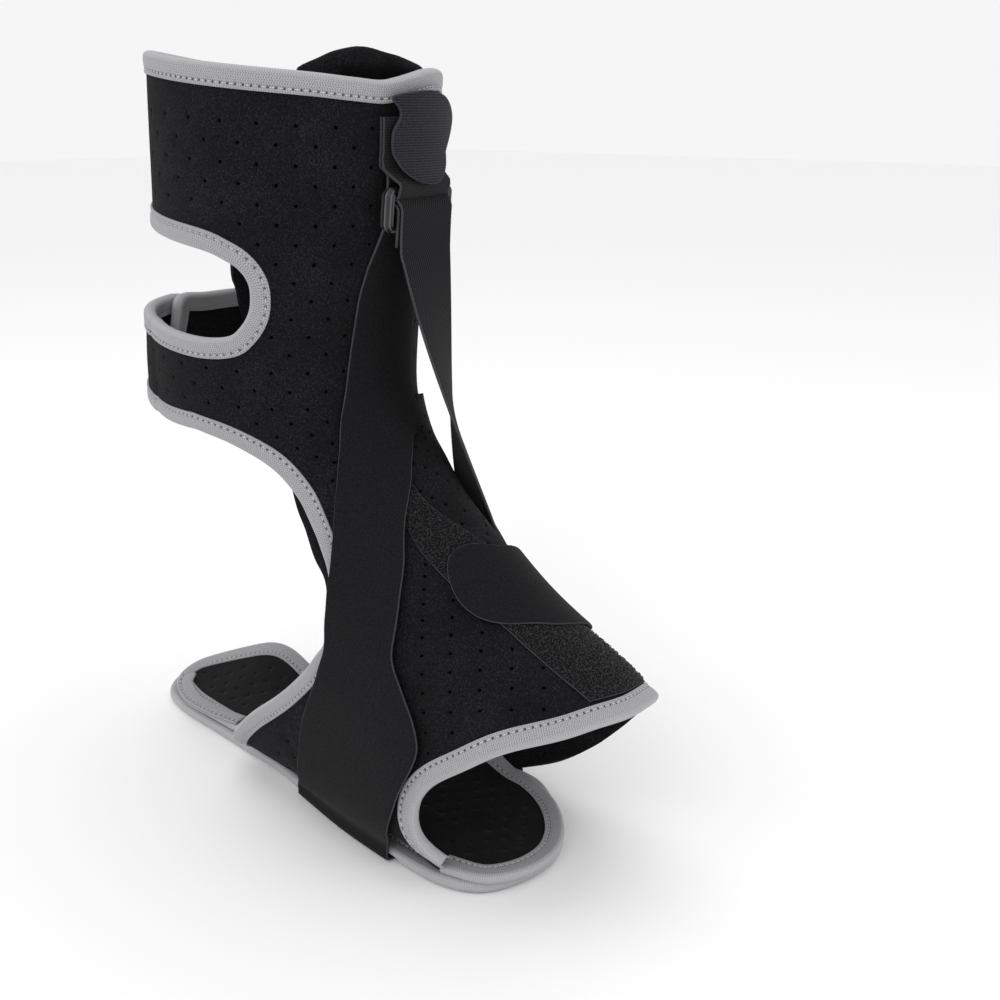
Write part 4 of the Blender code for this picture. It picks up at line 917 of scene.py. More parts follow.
def legLift(u, v):
    u, v = np.asarray(u, float), np.asarray(v, float)
    upper, lower = flapLift("upper", u), flapLift("lower", u)
    far = flapLift("far", -u) * smooth(flaps["farEnd"] - v)
    near = np.where(v < flaps["upperEnd"], upper, np.where(v < flaps["lowerEnd"], lower, 0.0))
    return mm * np.where(u > flaps["from"], near,
                         np.where((u < -flaps["from"]) & (v < flaps["farEnd"]), far, 0.0))


# the forefoot half bulges over the end of the shin sleeve; height in mm
bulge = {"height": 2.4, "near": (14, 14), "far": (-76, 16), "top": (4.4, 0.8), "low": (8.5, 1.5)}


def footBump(u, v):
    around = fall(u, bulge["near"]) * rise(u, bulge["far"])
    return bulge["height"] * mm * around * fall(v, bulge["low"]) * rise(v, bulge["top"])


def legHigh(u, v):
    return legLift(u, v) + cloth


def footHigh(u, v):
    return footBump(u, v) + cloth


# round holes in staggered rows, mm; none nearer to an edge than "edge", no net point than "clear"
perforation = {"spacing": 15.0, "row": 8.2, "radius": 0.50, "rim": 0.95, "depth": 1.5, "edge": 12.0,
               "clear": 2.1}
# metres to one step of each surface coordinate, and the small steps that its slope is taken over
bootScale = (0.00105, 0.0262)
bootSteps = (0.5, 0.02)
netPitch = 3.4 * mm
fineSteps = 900
rowReach = 60


def holesOn(loop, scale, place, steps, look, centre):
    uLow, uHigh = loop[:, 0].min(), loop[:, 0].max()
    vFine = np.linspace(loop[:, 1].min(), loop[:, 1].max(), fineSteps)
    climb = lengthAlong(place(np.full(fineSteps, centre), vFine, 0.0))
    centres = []
    for k in range(int(climb[-1] / (look["row"] * mm)) + 1):
        v = np.interp(k * look["row"] * mm, climb, vFine)
        u = np.linspace(uLow, uHigh, fineSteps)
        run = lengthAlong(place(u, np.full(fineSteps, v), 0.0))
        zero = np.interp(centre, u, run)
        for j in range(-rowReach, rowReach + 1):
            want = zero + (j + 0.5 * (k % 2)) * look["spacing"] * mm
            if 0 < want < run[-1]:
                centres.append((np.interp(want, run, u), v))
    centres = np.array(centres)
    centres = centres[insideLoop(centres, loop)]
    gap = edgeGap(centres * np.array(scale), loop * np.array(scale))
    centres = centres[gap > look["edge"] * mm]
    a, b = centres[:, 0], centres[:, 1]
    du, dv = steps
    ja = np.linalg.norm(place(a + du, b, 0.0) - place(a - du, b, 0.0), axis=1) / (2 * du)
    jb = np.linalg.norm(place(a, b + dv, 0.0) - place(a, b - dv, 0.0), axis=1) / (2 * dv)
    points, depth = [centres], [np.ones(len(centres))]
    for r, deep in ((look["radius"], 1.0), (look["rim"], 0.0)):
        for w in np.arange(6) * math.pi / 3 + (0 if deep else math.pi / 6):
            points.append(np.stack([a + r * mm * math.cos(w) / ja, b + r * mm * math.sin(w) / jb], 1))
            depth.append(np.full(len(centres), deep))
    return {"points": np.vstack(points), "depth": np.concatenate(depth), "centres": centres,
            "clear": look["clear"] * mm}


# each half's own side of the seam; at the front the shift round the leg fades out
seamFade = 12


def shifted(points, way):
    return [(u + way * math.copysign(seamShift[0] * float(smooth(abs(u) / seamFade)), u),
             v - way * seamShift[1]) for u, v in points]


def punched(obj, look):
    return runTree(obj, punchedHoles, {"Depth": look["depth"] * mm, "Material": obj.data.materials[0]})


tapePitch = tapeShape["stitchPitch"] * mm / 2
legSeam, footSeam = shifted(seam, 0.5), shifted(seam, -0.5)
legEdge = [topRim, tongueEnd, notch, lowTongueEnd, nearBack]
legRest = [nearFootBack[:-1] + [legSeam[0]], legSeam, [legSeam[-1]] + farFootBack[1:], farBack, rawRim]
legLoop = chainOf(legEdge + legRest, onBoot, netPitch, cloth / 2)
nearSide = 90.0
legHoles = holesOn(legLoop, bootScale, onBoot, bootSteps, perforation, nearSide)
legPanel = clothPanel("legPanel", legLoop, bootScale, netPitch, onBoot, legLift, legHigh, jersey,
                      legHoles)
finishPiece(punched(legPanel, perforation), ["leg_wrap"])
print("leg panel:", len(legHoles["centres"]), "perforations")

footLoop = chainOf([[footSeam[0]] + nearFootFront[1:], toeRim, farFront,
                    farFootFront[:-1] + [footSeam[-1]], footSeam[::-1]], onBoot, netPitch, cloth / 2)
footHoles = holesOn(footLoop, bootScale, onBoot, bootSteps, perforation, nearSide)
footPanel = clothPanel("footPanel", footLoop, bootScale, netPitch, onBoot, footBump, footHigh, jersey,
                       footHoles)
finishPiece(punched(footPanel, perforation), ["foot_wrap"])
print("forefoot panel:", len(footHoles["centres"]), "perforations")


def boundEdge(name, path, place, steps, low, high, side, nodes, closed=False):
    tape, rows = bindingTape(name, path, place, steps, low, high, side, closed)
    finishPiece(tape, nodes)
    finishPiece(sewnRow(name + "Stitches", rows))


legPath = chainOf(legEdge, onBoot, tapePitch, cloth / 2)
boundEdge("legBinding", legPath, onBoot, bootSteps, legLift, legHigh, 1, ["edge_binding"])
toePath = np.vstack([chainOf([toeRim], onBoot, tapePitch, cloth / 2), [toeRim[-1]]])
boundEdge("toeBinding", toePath, onBoot, bootSteps, footBump, footHigh, 1, ["toe_binding"])
print("leg and toe edges bound")


# lower strap, from the far side round to the inside of the near tongue: its height off the boot
# there and here in mm, and the degrees where it starts to rise and over which it does
strapLift = {"inside": -2.8, "rise": 8.8, "from": (170, 46)}


def lowStrapLift(u, v):
    return mm * (strapLift["inside"] + strapLift["rise"] * rise(np.asarray(u, float), strapLift["from"]))


def lowStrapHigh(u, v):
    return lowStrapLift(u, v) + cloth


lowEdge = [lowStrapTop, lowStrapEnd, lowStrapLow]
lowLoop = np.vstack([chainOf(lowEdge, onBoot, netPitch, cloth / 2),
                     curveThrough([lowStrapLow[-1], lowStrapTop[0]], onBoot, netPitch)[:-1]])
lowerStrap = clothPanel("lowerStrap", lowLoop, bootScale, netPitch, onBoot, lowStrapLift, lowStrapHigh,
                        jersey)
finishPiece(lowerStrap, ["lower_strap"])
lowPath = np.vstack([chainOf(lowEdge, onBoot, tapePitch, cloth / 2), [lowStrapLow[-1]]])
boundEdge("lowerBinding", lowPath, onBoot, bootSteps, lowStrapLift, lowStrapHigh, -1,
          ["lower_binding"])
print("lower strap done")

# sole: bound pad, then the lining panel with heel and ball lobes; lengths in mm
sole = {"edge": 3.5, "raise": 1.3, "edgeRise": 1.5, "recess": 2.1, "panel": 2.6, "lobeBase": 9.05,
        "heelCurl": 22.0, "tapeClear": 10.2, "tapeFade": 3.0, "lobeDrop": 1.7, "pitch": 3.4,
        "panelPitch": 3.0, "panelEdge": 2.6}
# where the lobes, the dish between them and the pad's raised middle begin: shares of the sole's
# length or width, the last three in metres
lobes = {"front": (0.300, 0.070), "back": (0.108, 0.058), "dish": (0.15, 0.07), "drop": (0.385, 0.05),
         "curl": (0.080, 0.220), "plateBack": (-0.036, 0.010), "plateFront": (0.124, 0.010),
         "plateSide": (0.0228, 0.004)}
pins = {"spacing": 10.0, "row": 6.5, "radius": 0.38, "rim": 0.6, "depth": 0.9, "edge": 12.0,
        "clear": 2.1}
soleLength, soleWidth = boot["soleLength"] * mm, boot["soleWidth"] * mm
flatScale = (1.0, 1.0)
flatSteps = (0.0005, 0.0005)


def sized(points):
    return np.array(points) * (soleLength, soleWidth)


def heelCurl(x, y):
    across = np.maximum((y / soleWidth + 0.255) / 0.561, 0.0) ** 2
    return sole["heelCurl"] * mm * across * rise(-x / soleLength, lobes["curl"])


def onPad(x, y, h):
    x, y, h = together(x, y, h)
    return np.stack([x, y, heelCurl(x, y) + h], -1)


# the boot's own floor at mid foot, which curves up to its sides
def floorInside(y):
    frontZ, backZ, half, square = bootSections[11][[1, 3, 4, 5]]
    out = np.minimum(np.abs(y) / (half * boot["legHalf"] * mm), 0.95)
    up = 1 - (1 - out ** square) ** (1 / square)
    return boot["legHeight"] * mm * (backZ + up * (frontZ - backZ) / 2)


def panelBase(x, y):
    back = rise(-x / soleLength, lobes["back"])
    lobe = np.maximum(rise(x / soleLength, lobes["front"]), back)
    dish = rise(np.abs(y) / soleWidth, lobes["dish"])
    base = sole["lobeBase"] * mm
    middle = blend(base, floorInside(y) + boot["layerGap"] * mm, dish)
    drop = np.maximum(rise(x / soleLength, lobes["drop"]), back)
    return blend(middle, base, lobe) + heelCurl(x, y) - sole["lobeDrop"] * mm * drop


def onPanel(x, y, h):
    x, y, h = together(x, y, h)
    return np.stack([x, y, panelBase(x, y) + h], -1)


padFine = curveThrough(sized(pad), onPad, 4 * mm, closed=True)


def padGap(x, y):
    p = np.stack([np.asarray(x, float).ravel(), np.asarray(y, float).ravel()], 1)
    return np.where(insideLoop(p, padFine), edgeGap(p, padFine), 0.0)


def padFlat(x, y):
    return smooth((padGap(x, y) - sole["tapeClear"] * mm) / (sole["tapeFade"] * mm))


def padLow(x, y):
    s = x / soleLength
    over = rise(s, (recessBack, recessRamp)) * fall(s, (recessFront, recessRamp))
    return mm * (sole["recess"] * over + sole["edgeRise"] * (1 - padFlat(x, y)))


# the middle stands up where the plate lies under it
def padHigh(x, y):
    plate = rise(x, lobes["plateBack"]) * fall(x, lobes["plateFront"]) * fall(np.abs(y), lobes["plateSide"])
    return mm * (sole["edgeRise"] + sole["edge"] + sole["raise"] * padFlat(x, y) * plate)


padLoop = curveThrough(sized(pad), onPad, sole["pitch"] * mm, closed=True)
solePad = clothPanel("solePad", padLoop, flatScale, sole["pitch"] * mm, onPad, padLow, padHigh, jersey)
finishPiece(solePad, ["sole_pad"])
padPath = curveThrough(sized(pad), onPad, tapePitch, closed=True)
if len(padPath) % 2:
    # an even count, so that the stitches close up round the pad
    evenPitch = tapePitch * len(padPath) / (len(padPath) + 1)
    padPath = curveThrough(sized(pad), onPad, evenPitch, closed=True)
boundEdge("padBinding", padPath, onPad, flatSteps, padLow, padHigh, turning(padPath), ["pad_binding"],
          closed=True)


def level(height):
    return lambda x, y: np.full(np.shape(x), height * mm)


panelLow, panelHigh = level(0.0), level(sole["panel"])


panelParts = [sized(p) for p in (panelHeel, panelFar, panelBall, panelNear)]
panelLoop = np.vstack([curveThrough(p, onPanel, sole["panelEdge"] * mm)[:-1] for p in panelParts])
pinHoles = holesOn(panelLoop, flatScale, onPanel, flatSteps, pins, 0.0)
solePanel = clothPanel("soleLining", panelLoop, flatScale, sole["panelPitch"] * mm, onPanel, panelLow,
                       panelHigh, lining, pinHoles)
finishPiece(punched(solePanel, pins), ["sole_panel"])
# the lobes' tapes run on a little way under the walls
ballLine = np.vstack([sized([(0.300, 0.362), (0.338, 0.358)]), panelParts[2][1:-1]])
for name, part, node in (("heelBinding", panelParts[0], "heel_binding"),
                         ("ballBinding", ballLine, "ball_binding")):
    boundEdge(name, curveThrough(part, onPanel, tapePitch), onPanel, flatSteps, panelLow, panelHigh,
              -1, [node])


# the back edge's tape lies flat on the heel lobe and runs on round it
heelRun = [(-0.168, -0.190), (-0.2102, -0.2070), (-0.2382, -0.2155), (-0.2949, -0.2150),
           (-0.3359, -0.1880), (-0.3720, -0.1400), (-0.3900, -0.0800)]
boundEdge("heelTapeRun", curveThrough(sized(heelRun), onPanel, tapePitch), onPanel, flatSteps,
          level(sole["panel"] + 1.1), level(sole["panel"] + 1.5), 1, [])
print("sole done")


# padded sleeve over the shin bar, inside the boot
# depths in mm; pairs say the section or the degrees where a change starts and over which it runs
sleeve = {"barDeep": 3.0, "topDeep": 0.5, "footDeep": 1.3, "cover": 3.3, "rim": (2.4, 1.3),
          "thick": 3.0, "dome": 3.0, "barU": (11, 2), "barTurn": (4, 4.5), "top": (1.4, 0.5),
          "foot": ((5.8, 2.2), (12.8, 2.6)), "ridge": (13.5, 9), "ridgeTurn": (3, 4),
          "rimTurn": (0.40, 0.3), "domeTurn": (0.45, 0.5),
          "mouth": ([-42, -20, -5, 12, 23], [-0.04, -0.14, -0.21, -0.19, -0.12]), "mouthShade": 0.55}


def stayU(v):
    return blend(*sleeve["barU"], rise(v, sleeve["barTurn"]))


def stayH(v):
    flatFoot = rise(v, sleeve["foot"][0]) * fall(v, sleeve["foot"][1])
    return -mm * (sleeve["barDeep"] + sleeve["topDeep"] * fall(v, sleeve["top"])
                  + sleeve["footDeep"] * flatFoot)


def sleeveHigh(u, v):
    off = np.abs(u - stayU(v) - blend(2, 0, rise(v, sleeve["ridgeTurn"])))
    deep = sleeve["cover"] * mm - stayH(v)
    rim = blend(*sleeve["rim"], rise(v, sleeve["rimTurn"])) * mm
    return -blend(deep, rim, rise(off, sleeve["ridge"]))


def sleeveLow(u, v):
    dome = sleeve["dome"] * mm * fall(np.asarray(v, float), sleeve["domeTurn"])
    return sleeveHigh(u, v) - sleeve["thick"] * mm - dome


# painted shade along the pocket's mouth where the sleeve meets the leg, drawn near black by the jersey
# through the punch attribute
def pocketMouth(u, v):
    line = np.interp(u, *sleeve["mouth"])
    return sleeve["mouthShade"] * smooth((v - line) / 0.04) * fall(u, (25, 4))


sleeveLoop = chainOf([
    [(-44, 0.16), (-41, -0.04), (-30, -0.14), (-20, -0.20), (-10, -0.26), (0, -0.33), (8, -0.36),
     (14, -0.35), (23, -0.29), (30, -0.21), (37, -0.12), (41, -0.04), (43, 0.16)],
    [(43, 0.16), (40, 1.5), (38, 3.5), (33, 5.6), (29, 7.2), (27, 9.0), (26, 11.4)],
    [(26, 11.4), (24, 11.75), (16, 11.9), (2, 11.93), (-12, 11.9), (-20, 11.75), (-22, 11.4)],
    [(-22, 11.4), (-23, 9.0), (-21, 7.2), (-18, 5.6), (-13, 3.5), (-14, 1.7), (-24, 0.9), (-38, 0.5),
     (-44, 0.16)],
], onBoot, 2.6 * mm)
shinSleeve = clothPanel("shinSleeve", sleeveLoop, bootScale, 3.2 * mm, onBoot, sleeveLow, sleeveHigh,
                        jersey, rounding=2.2 * mm, shade=pocketMouth)
finishPiece(shinSleeve, ["shin_sleeve"])
print("sleeve done")

# lifting strap: near side, under the sole, far side, up to the ring; lengths in mm, and lanes are
# the shares of its width at which it has a vertex
strap = {"half": 17.5, "ringSpan": 15.0, "ringBar": 2.0, "ringOut": 8.2, "ringWidth": 44.6,
         "slack": 0.6, "tape": 0.9, "midBar": -0.8, "overTape": 2.2, "farDrop": 1.0, "bend": 0.8,
         "heel": (7.0, 1.0), "bendTop": (4.8, 0.6), "bendLow": (8.0, 0.6)}
lanes = np.array([0, 0.010, 0.026, 0.07, 0.15, 0.25, 0.375, 0.5, 0.625, 0.75, 0.85, 0.93, 0.974,
                  0.990, 1.0])
thick, layerGap, strapHalf = boot["strap"] * mm, boot["layerGap"] * mm, strap["half"] * mm


def strapH(u, v):
    overTape = strap["overTape"] * rise(v, strap["heel"])
    bend = strap["bend"] * rise(v, strap["bendTop"]) * fall(v, strap["bendLow"])
    return cloth + layerGap + mm * (overTape + bend) + footBump(u, v)


# the ring's place on the boot, with its own axes: A across, B up, N outward
ringU, ringV = -7.3, 1.53
ringO = skinAt(ringU, ringV)
ringN = outwardAt(ringU, ringV)
ringB = skinAt(ringU, ringV - 0.3) - skinAt(ringU, ringV + 0.3)
ringB = unit(ringB - ringN * (ringB @ ringN))
ringA = np.cross(ringN, ringB)
ringA = ringA if ringA[1] > 0 else -ringA


def inRing(a, b, n):
    a, b, n = together(a, b, n)
    return ringO + a[..., None] * ringA + b[..., None] * ringB + n[..., None] * ringN


def flatRow(b, n):
    return inRing(blend(-1, 1, lanes) * strapHalf, b, n)


def arcRows(b, n, radius, angles):
    return [flatRow(b + radius * math.sin(math.radians(w)), n + radius * math.cos(math.radians(w)))
            for w in angles]


def bootRow(back, front, side, lift):
    u, v = blend(back[0], front[0], lanes) * side, blend(back[1], front[1], lanes)
    return onBoot(u, v, strapH(u, v) - (0 if lift else strap["farDrop"] * mm * rise(v, strap["heel"])))


def sideEdge(x, way):
    a, b = padFine, np.roll(padFine, -1, axis=0)
    ok = (a[:, 0] - x) * (b[:, 0] - x) <= 0
    y = a[ok, 1] + (b[ok, 1] - a[ok, 1]) * (x - a[ok, 0]) / (b[ok, 0] - a[ok, 0])
    return way * max(0.0, (y * way).max())


strapX = blend((recessBack + recessRamp + 0.009) * soleLength,
               (recessFront - recessRamp - 0.006) * soleLength, lanes)


def underRow(way, out, z):
    y = np.array([sideEdge(x, way) for x in strapX]) + way * out
    return np.stack([strapX, y, np.full(len(lanes), z)], 1)


def finer(rows, steps):
    # more rows along one smooth curve through each lane
    p = np.array(rows)
    out = []
    for i in range(len(p) - 1):
        q0, q1, q2, q3 = [p[min(max(i + k, 0), len(p) - 1)] for k in (-1, 0, 1, 2)]
        for s in range(steps):
            out.append(through(q0, q1, q2, q3, s / steps))
    out.append(p[-1])
    return out


def centred(p, axis):
    # the difference across each point, one-sided at both ends
    out = np.empty_like(p)
    p, view = np.moveaxis(p, axis, 0), np.moveaxis(out, axis, 0)
    view[1:-1], view[0], view[-1] = p[2:] - p[:-2], p[1] - p[0], p[-1] - p[-2]
    return out


def strapRibbon(name, rows, material, twill=None):
    p = np.array(rows)
    m, k = p.shape[:2]
    n = unit(np.cross(centred(p, 0), centred(p, 1)))
    wide = np.array([lengthAlong(row) for row in p])
    rim = np.minimum(wide, wide[:, -1:] - wide)
    full = 0.45 + 0.55 * np.sqrt(1 - (1 - np.clip(rim / (0.8 * mm), 0, 1)) ** 2)
    low = p + n * (thick * (1 - full) / 2)[..., None]
    high = p + n * (thick * (1 + full) / 2)[..., None]
    run = lengthAlong(p[:, k // 2])
    verts = np.concatenate([low.reshape(-1, 3), high.reshape(-1, 3)])
    uv = np.stack([np.repeat(run, k), wide.ravel()], 1)
    half = m * k
    faces = []
    for i in range(m - 1):
        for j in range(k - 1):
            a, b, c, d = i * k + j, (i + 1) * k + j, (i + 1) * k + j + 1, i * k + j + 1
            faces += [[a, b, c, d], [a + half, d + half, c + half, b + half]]
        for j, flip in ((0, False), (k - 1, True)):
            f = [i * k + j, i * k + j + half, (i + 1) * k + j + half, (i + 1) * k + j]
            faces.append(f[::-1] if flip else f)
    for i, flip in ((0, True), (m - 1, False)):
        for j in range(k - 1):
            f = [i * k + j, i * k + j + half, i * k + j + 1 + half, i * k + j + 1]
            faces.append(f[::-1] if flip else f)
    side = np.zeros(m) if twill is None else twill(run)
    return meshObject(name, verts, faces, material, np.vstack([uv, uv]),
                      {"rimGap": np.tile(rim.ravel(), 2), "twillSide": np.tile(np.repeat(side, k), 2)})


foldN = strap["ringOut"] * mm
lowBar, highBar = strap["midBar"] * mm, strap["ringSpan"] / 2 * mm
wrap = strap["ringBar"] * mm + layerGap + thick
hem = (strap["slack"] + strap["tape"]) * mm + layerGap

rows = [flatRow(-0.015, foldN + wrap), flatRow(lowBar - 0.006, foldN + wrap)]
rows += arcRows(lowBar, foldN, wrap, (0, 20, 40, 60, 80, 100, 120, 140, 160, 180))
rows += [flatRow(lowBar - 0.006, foldN - wrap)]
paired = np.hstack([np.array(strapBack[1:]), np.array(strapFront[1:])])
smoothPairs = finer(paired[:, None, :], 3)
for p in smoothPairs[::-1]:
    rows.append(bootRow(p[0, :2], p[0, 2:], 1, True))
# out from the pad's edge and up from the floor, m
edgeRows = [(hem + 0.0003, 0.0095), (hem + 0.0003, 0.0042), (hem, 0.0024), (-0.0022, thick),
            (-0.016, thick)]
rows += [underRow(-1, out, z) for out, z in edgeRows]
rows += [underRow(1, out, z) for out, z in edgeRows[::-1]]
for p in smoothPairs[:3 * (farRows - 1) + 1]:
    rows.append(bootRow(p[0, :2], p[0, 2:], -1, False))
# the free run: from the last row on the boot (centre c0, heading t0, width along w0) to the ring
start, before = rows[-1], rows[-4]
c0 = (start[0] + start[-1]) / 2
t0 = unit(c0 - (before[0] + before[-1]) / 2)
w0 = unit(start[-1] - start[0])
frontN = foldN + wrap + layerGap
c1 = inRing(0, -0.017, frontN + 0.0006)
reach = np.linalg.norm(c1 - c0)
go = (c1 - c0) / reach
half0 = np.linalg.norm(start[-1] - start[0]) / 2
freeSteps = 30
for k in range(1, freeSteps):
    s = k / freeSteps
    h1, h2 = (2 * s - 3) * s * s + 1, ((s - 2) * s + 1) * s
    h3, h4 = (3 - 2 * s) * s * s, (s - 1) * s * s
    c = (c0 * h1 + (t0 * 0.45 + go * 0.55) * reach * h2 + c1 * h3
         + (go * 0.75 + ringB * 0.25) * reach * h4)
    w = unit(w0 * (1 - s) - ringA * s)
    wide = blend(half0, strapHalf, float(smooth(s * 3)))
    rows.append(c + np.outer(blend(-1, 1, lanes), w) * wide)
rows.append(flatRow(-0.017, frontN + 0.0006)[::-1])
rows.append(flatRow(lowBar - 0.004, frontN)[::-1])
rows += [r[::-1] for r in arcRows(lowBar, foldN, wrap + layerGap, (0, 15, 30, 45, 60, 75, 88))]
rows = finer(rows, 2)
total = lengthAlong(np.array(rows)[:, 7])[-1]
# its twill back shows at the folded end and along the free run; lengths from either end, m
twillEnds = (0.034, 0.225)
liftingStrap = strapRibbon("liftingStrap", rows, strapCloth, lambda run: np.where(
    (run < twillEnds[0]) | (run > total - twillEnds[1]), 1.0, 0.0))
finishPiece(liftingStrap, ["lifting_strap"])
print("lifting strap done:", round(total * 1000), "mm long")

# thicknesses of the tabs and the strip, and how far two of them stand off, mm
tabs = {"strip": 1.1, "closingLift": 1.7, "closing": 1.5, "hook": 2.2, "hookLift": 4.4}

# folded strap in the ring's upper bar, and the hook tab on it
lowH = cloth + layerGap
topH = lowH + thick + layerGap + thick


def topRow(v, h):
    return onBoot(ringU + 17.0 * (1 - 2 * lanes), v, h)


rows = [topRow(v, lowH) for v in (0.45, 0.65, 0.85, 1.05)]
rows += [flatRow(highBar + 0.006, foldN - wrap)]
rows += arcRows(highBar, foldN, wrap, (180, 200, 220, 240, 260, 280, 300, 320, 340, 360))
rows += [flatRow(highBar + 0.004, foldN + wrap)]
rows += [topRow(1.05, topH + 0.0004), topRow(0.85, topH), topRow(0.65, topH), topRow(0.45, topH)]
finishPiece(strapRibbon("adjusterStrap", finer(rows, 2), ribbedWebbing), ["adjuster_strap"])

hookTabLoop = [(8.0, 0.23), (4.9, 0.34), (4.4, 0.44), (7.3, 0.61), (7.7, 0.78), (6.7, 0.93), (3.4, 1.10),
               (-3.1, 1.21), (-11.2, 1.22), (-18.2, 1.08), (-24.7, 0.82), (-30.0, 0.56), (-29.4, 0.39),
               (-23.2, 0.22), (-13.8, 0.13), (-6.6, 0.12), (2.1, 0.15), (6.4, 0.18)]


def tabLow(u, v):
    lift = np.clip((np.asarray(v, float) - 0.88) / 0.29, 0.0, 1.2)
    return topH + layerGap * 2 + tabs["hookLift"] * mm * lift


def tabHigh(u, v):
    return tabLow(u, v) + tabs["hook"] * mm


hookTab = clothPanel("hookTab", curveThrough(hookTabLoop, onBoot, 1.5 * mm, closed=True), bootScale,
                     2.0 * mm, onBoot, tabLow, tabHigh, hookTape, rounding=0.9 * mm)
finishPiece(hookTab, ["hook_tab"])

# loop strip on the instep and the closing tab; the loops are drawn coarser than real ones
loopPatch = {"loopsPerSquareMetre": 1250000.0, "loopRadius": 0.50, "yarnRadius": 0.19, "seed": 4}


def stripLow(u, v):
    return cloth + 0.5 * layerGap + footBump(u, v)


def stripHigh(u, v):
    return stripLow(u, v) + tabs["strip"] * mm


stripLoop = chainOf([loopStrip[:2], loopStrip[1:8], loopStrip[7:10], loopStrip[9:] + loopStrip[:1]],
                    onBoot, 2.0 * mm)
loopGround = clothPanel("loopGround", stripLoop, bootScale, 3.0 * mm, onBoot, stripLow, stripHigh,
                        strapCloth, rounding=0.8 * mm)
finishPiece(loopGround, ["loop_strip"])
# the pile grows on the upper face, in from the rim
half = len(loopGround.data.vertices) // 2
top = [list(p.vertices) for p in loopGround.data.polygons if min(p.vertices) >= half]
gap = [d.value for d in loopGround.data.attributes["rimGap"].data]
top = [f for f in top if max(gap[i] for i in f) > 1.0 * mm]
used = sorted({i for f in top for i in f})
index = {v: k for k, v in enumerate(used)}
pile = meshObject("loopPile", [tuple(loopGround.data.vertices[i].co) for i in used],
                  [[index[i] for i in f] for f in top], loopPile)
runTree(pile, loopScatter, {
    "Loops per square metre": loopPatch["loopsPerSquareMetre"],
    "Loop radius": loopPatch["loopRadius"] * mm, "Yarn radius": loopPatch["yarnRadius"] * mm,
    "Seed": loopPatch["seed"], "Material": loopPile})
finishPiece(pile)


def closingLow(u, v):
    return cloth + tabs["closingLift"] * mm + footBump(u, v)


def closingHigh(u, v):
    return closingLow(u, v) + tabs["closing"] * mm


closingTab = clothPanel("closingTab", curveThrough(footTab, onBoot, 1.8 * mm, closed=True), bootScale,
                        2.4 * mm, onBoot, closingLow, closingHigh, strapCloth, rounding=0.9 * mm)
finishPiece(closingTab, ["foot_tab"])
print("tabs done")

# moulded ring with fluted side bars, and its plain middle bar
ring = {"corner": 2.6, "sides": 24, "perCorner": 10, "flute": 0.42, "middle": 1.6, "middleSides": 12,
        "middleRows": 9}
corner = ring["corner"] * mm
aHalf, bHalf = (strap["ringWidth"] / 2 - strap["ringBar"]) * mm, strap["ringSpan"] / 2 * mm


def cornerPoint(sa, sb, angle):
    r = math.radians(angle)
    return np.array([sa * (aHalf - corner) + corner * math.cos(r),
                     sb * (bHalf - corner) + corner * math.sin(r)])


path = []
cornerSigns = [(1, 1), (-1, 1), (-1, -1), (1, -1)]
for turn in range(4):
    path += [cornerPoint(*cornerSigns[turn], 90 * turn + w) for w in np.linspace(0, 90, ring["perCorner"])]
    nextOne = cornerPoint(*cornerSigns[(turn + 1) % 4], 90 * turn + 90)
    path += [blend(path[-1], nextOne, t) for t in (0.25, 0.5, 0.75)]
path = np.array(path)
n = len(path)
runDir = unit(np.roll(path, -1, axis=0) - np.roll(path, 1, axis=0))
sideDir = np.stack([runDir[:, 1], -runDir[:, 0]], 1)
onSide = smooth((np.abs(path[:, 0]) - aHalf + corner) / corner)
verts = []
for i in range(n):
    for k in range(ring["sides"]):
        w = 2 * math.pi * k / ring["sides"]
        r = strap["ringBar"] * mm * (1 + ring["flute"] * (math.cos(6 * w) - 1) / 2 * onSide[i])
        off = sideDir[i] * r * math.cos(w)
        verts.append(inRing(path[i, 0] + off[0], path[i, 1] + off[1],
                            foldN + r * (1 + 0.5 * onSide[i]) * math.sin(w)))
s = ring["sides"]
# painted highlight along the crests of the side bars' flutes
crestHighlight = [onSide[i] * max(0.0, math.cos(12 * math.pi * k / s)) ** 2 for i in range(n) for k in range(s)]
finishPiece(meshObject("strapRing", verts, tubeFaces(n, s, True), acetal, values={"crestHighlight": crestHighlight}),
            ["strap_ring"])

barPoints = []
r, s = ring["middle"] * mm, ring["middleSides"]
for a in np.linspace(-aHalf, aHalf, ring["middleRows"]):
    for k in range(s):
        w = 2 * math.pi * k / s
        barPoints.append(inRing(a, lowBar + r * math.cos(w), foldN + r * math.sin(w)))
finishPiece(meshObject("ringMiddleBar", barPoints, tubeFaces(ring["middleRows"], s, False), acetal))

# metal kept from the frame
for node, material in (("shin_stay", barMetal), ("sole_plate", plateMetal)):
    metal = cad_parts[node]
    for slotPlace in metal.material_slots:
        slotPlace.material = material
print("ring and metal done")


# floor, light and camera
floorLook = {"size": 14.0, "floor": "#fbfbfb", "air": 0.92}


# solved from the photo: place in metres, view direction, lens in mm
cameraLook = {"place": (0.42898, -0.35996, 0.32534), "forward": (-0.61956, 0.71869, -0.31565),
              "right": (0.7575, 0.6529, 0.0), "lens": 42.477}


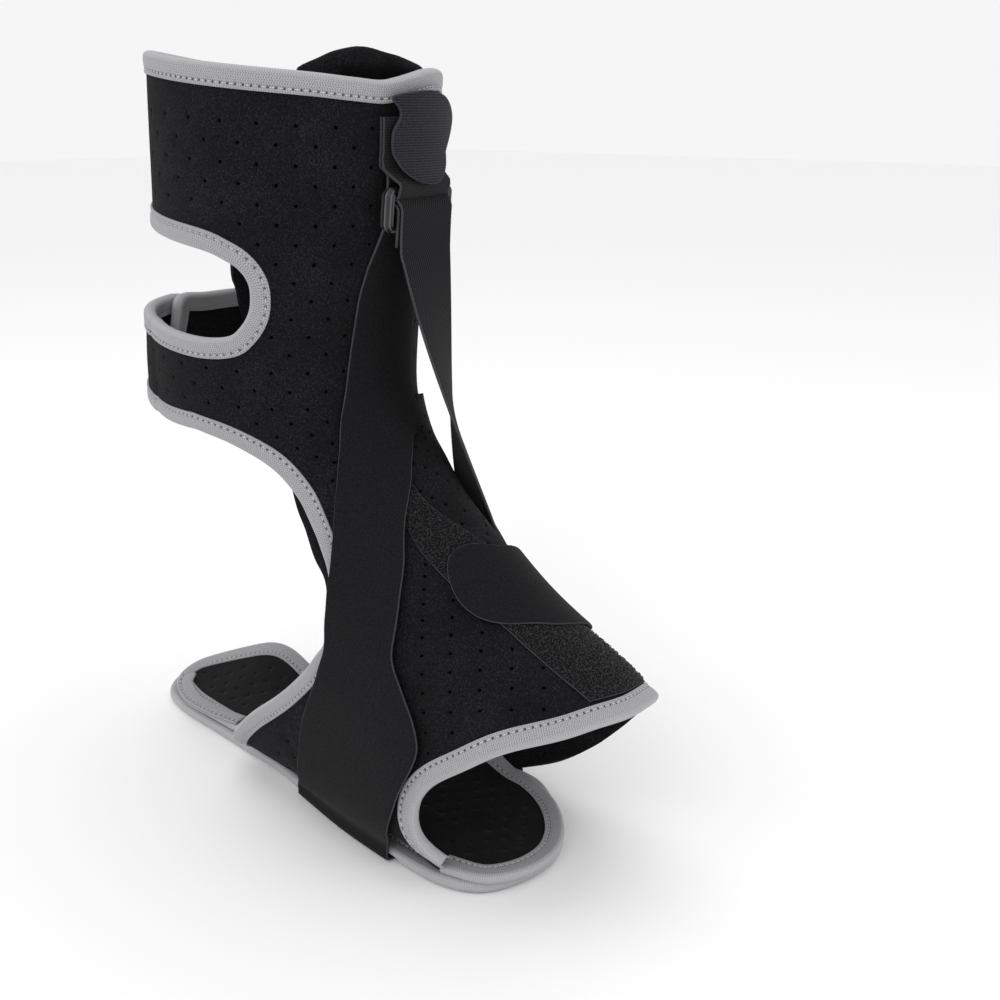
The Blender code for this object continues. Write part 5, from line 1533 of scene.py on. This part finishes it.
def placeCamera():
    data = bpy.data.cameras.new("camera")
    camera = bpy.data.objects.new("camera", data)
    bpy.context.scene.collection.objects.link(camera)
    forward = Vector(cameraLook["forward"]).normalized()
    right = Vector(cameraLook["right"]).normalized()
    up = right.cross(forward).normalized()
    camera.matrix_world = Matrix([(*row, 0.0) for row in zip(right, up, -forward)] + [(0, 0, 0, 1)])
    camera.location = cameraLook["place"]
    data.sensor_width = 36
    data.lens = cameraLook["lens"]
    data.clip_start = 0.01
    bpy.context.scene.camera = camera


def softLight(name, place, aim, size, power):
    data = bpy.data.lights.new(name, "AREA")
    data.shape = "RECTANGLE"
    data.size, data.size_y = size
    data.energy = power
    light = bpy.data.objects.new(name, data)
    bpy.context.scene.collection.objects.link(light)
    light.location = place
    light.rotation_euler = (Vector(aim) - Vector(place)).to_track_quat("-Z", "Y").to_euler()


placeCamera()
softLight("keyLight", (0.55, -1.35, 1.25), (0.02, 0.0, 0.15), (0.9, 0.9), 5.0)
softLight("sideLight", (-1.3, -0.9, 0.8), (0.0, 0.0, 0.15), (0.8, 1.0), 2.0)
softLight("frontLight", (1.5, 0.5, 0.9), (0.02, 0.0, 0.15), (0.8, 1.0), 2.0)
softLight("topLight", (0.0, 0.1, 1.7), (0.02, 0.0, 0.1), (1.2, 1.2), 2.5)

floorMesh = bpy.data.meshes.new("floor")
s = floorLook["size"] / 2
floorMesh.from_pydata([(-s, -s, 0), (s, -s, 0), (s, s, 0), (-s, s, 0)], [], [(0, 1, 2, 3)])
paper, _, shader = startMaterial("mattPaperSweep", 0.9)
shader.inputs["Base Color"].default_value = linear(floorLook["floor"])
floorMesh.materials.append(paper)
floor = bpy.data.objects.new("floor", floorMesh)
bpy.context.scene.collection.objects.link(floor)
floor.location.z = -0.0004

world = bpy.data.worlds.new("studioAir")
world.use_nodes = True
air = world.node_tree.nodes["Background"]
air.inputs["Color"].default_value = linear("#ffffff")
air.inputs["Strength"].default_value = floorLook["air"]
bpy.context.scene.world = world
bpy.context.scene.view_settings.view_transform = "Standard"

print("scene built")
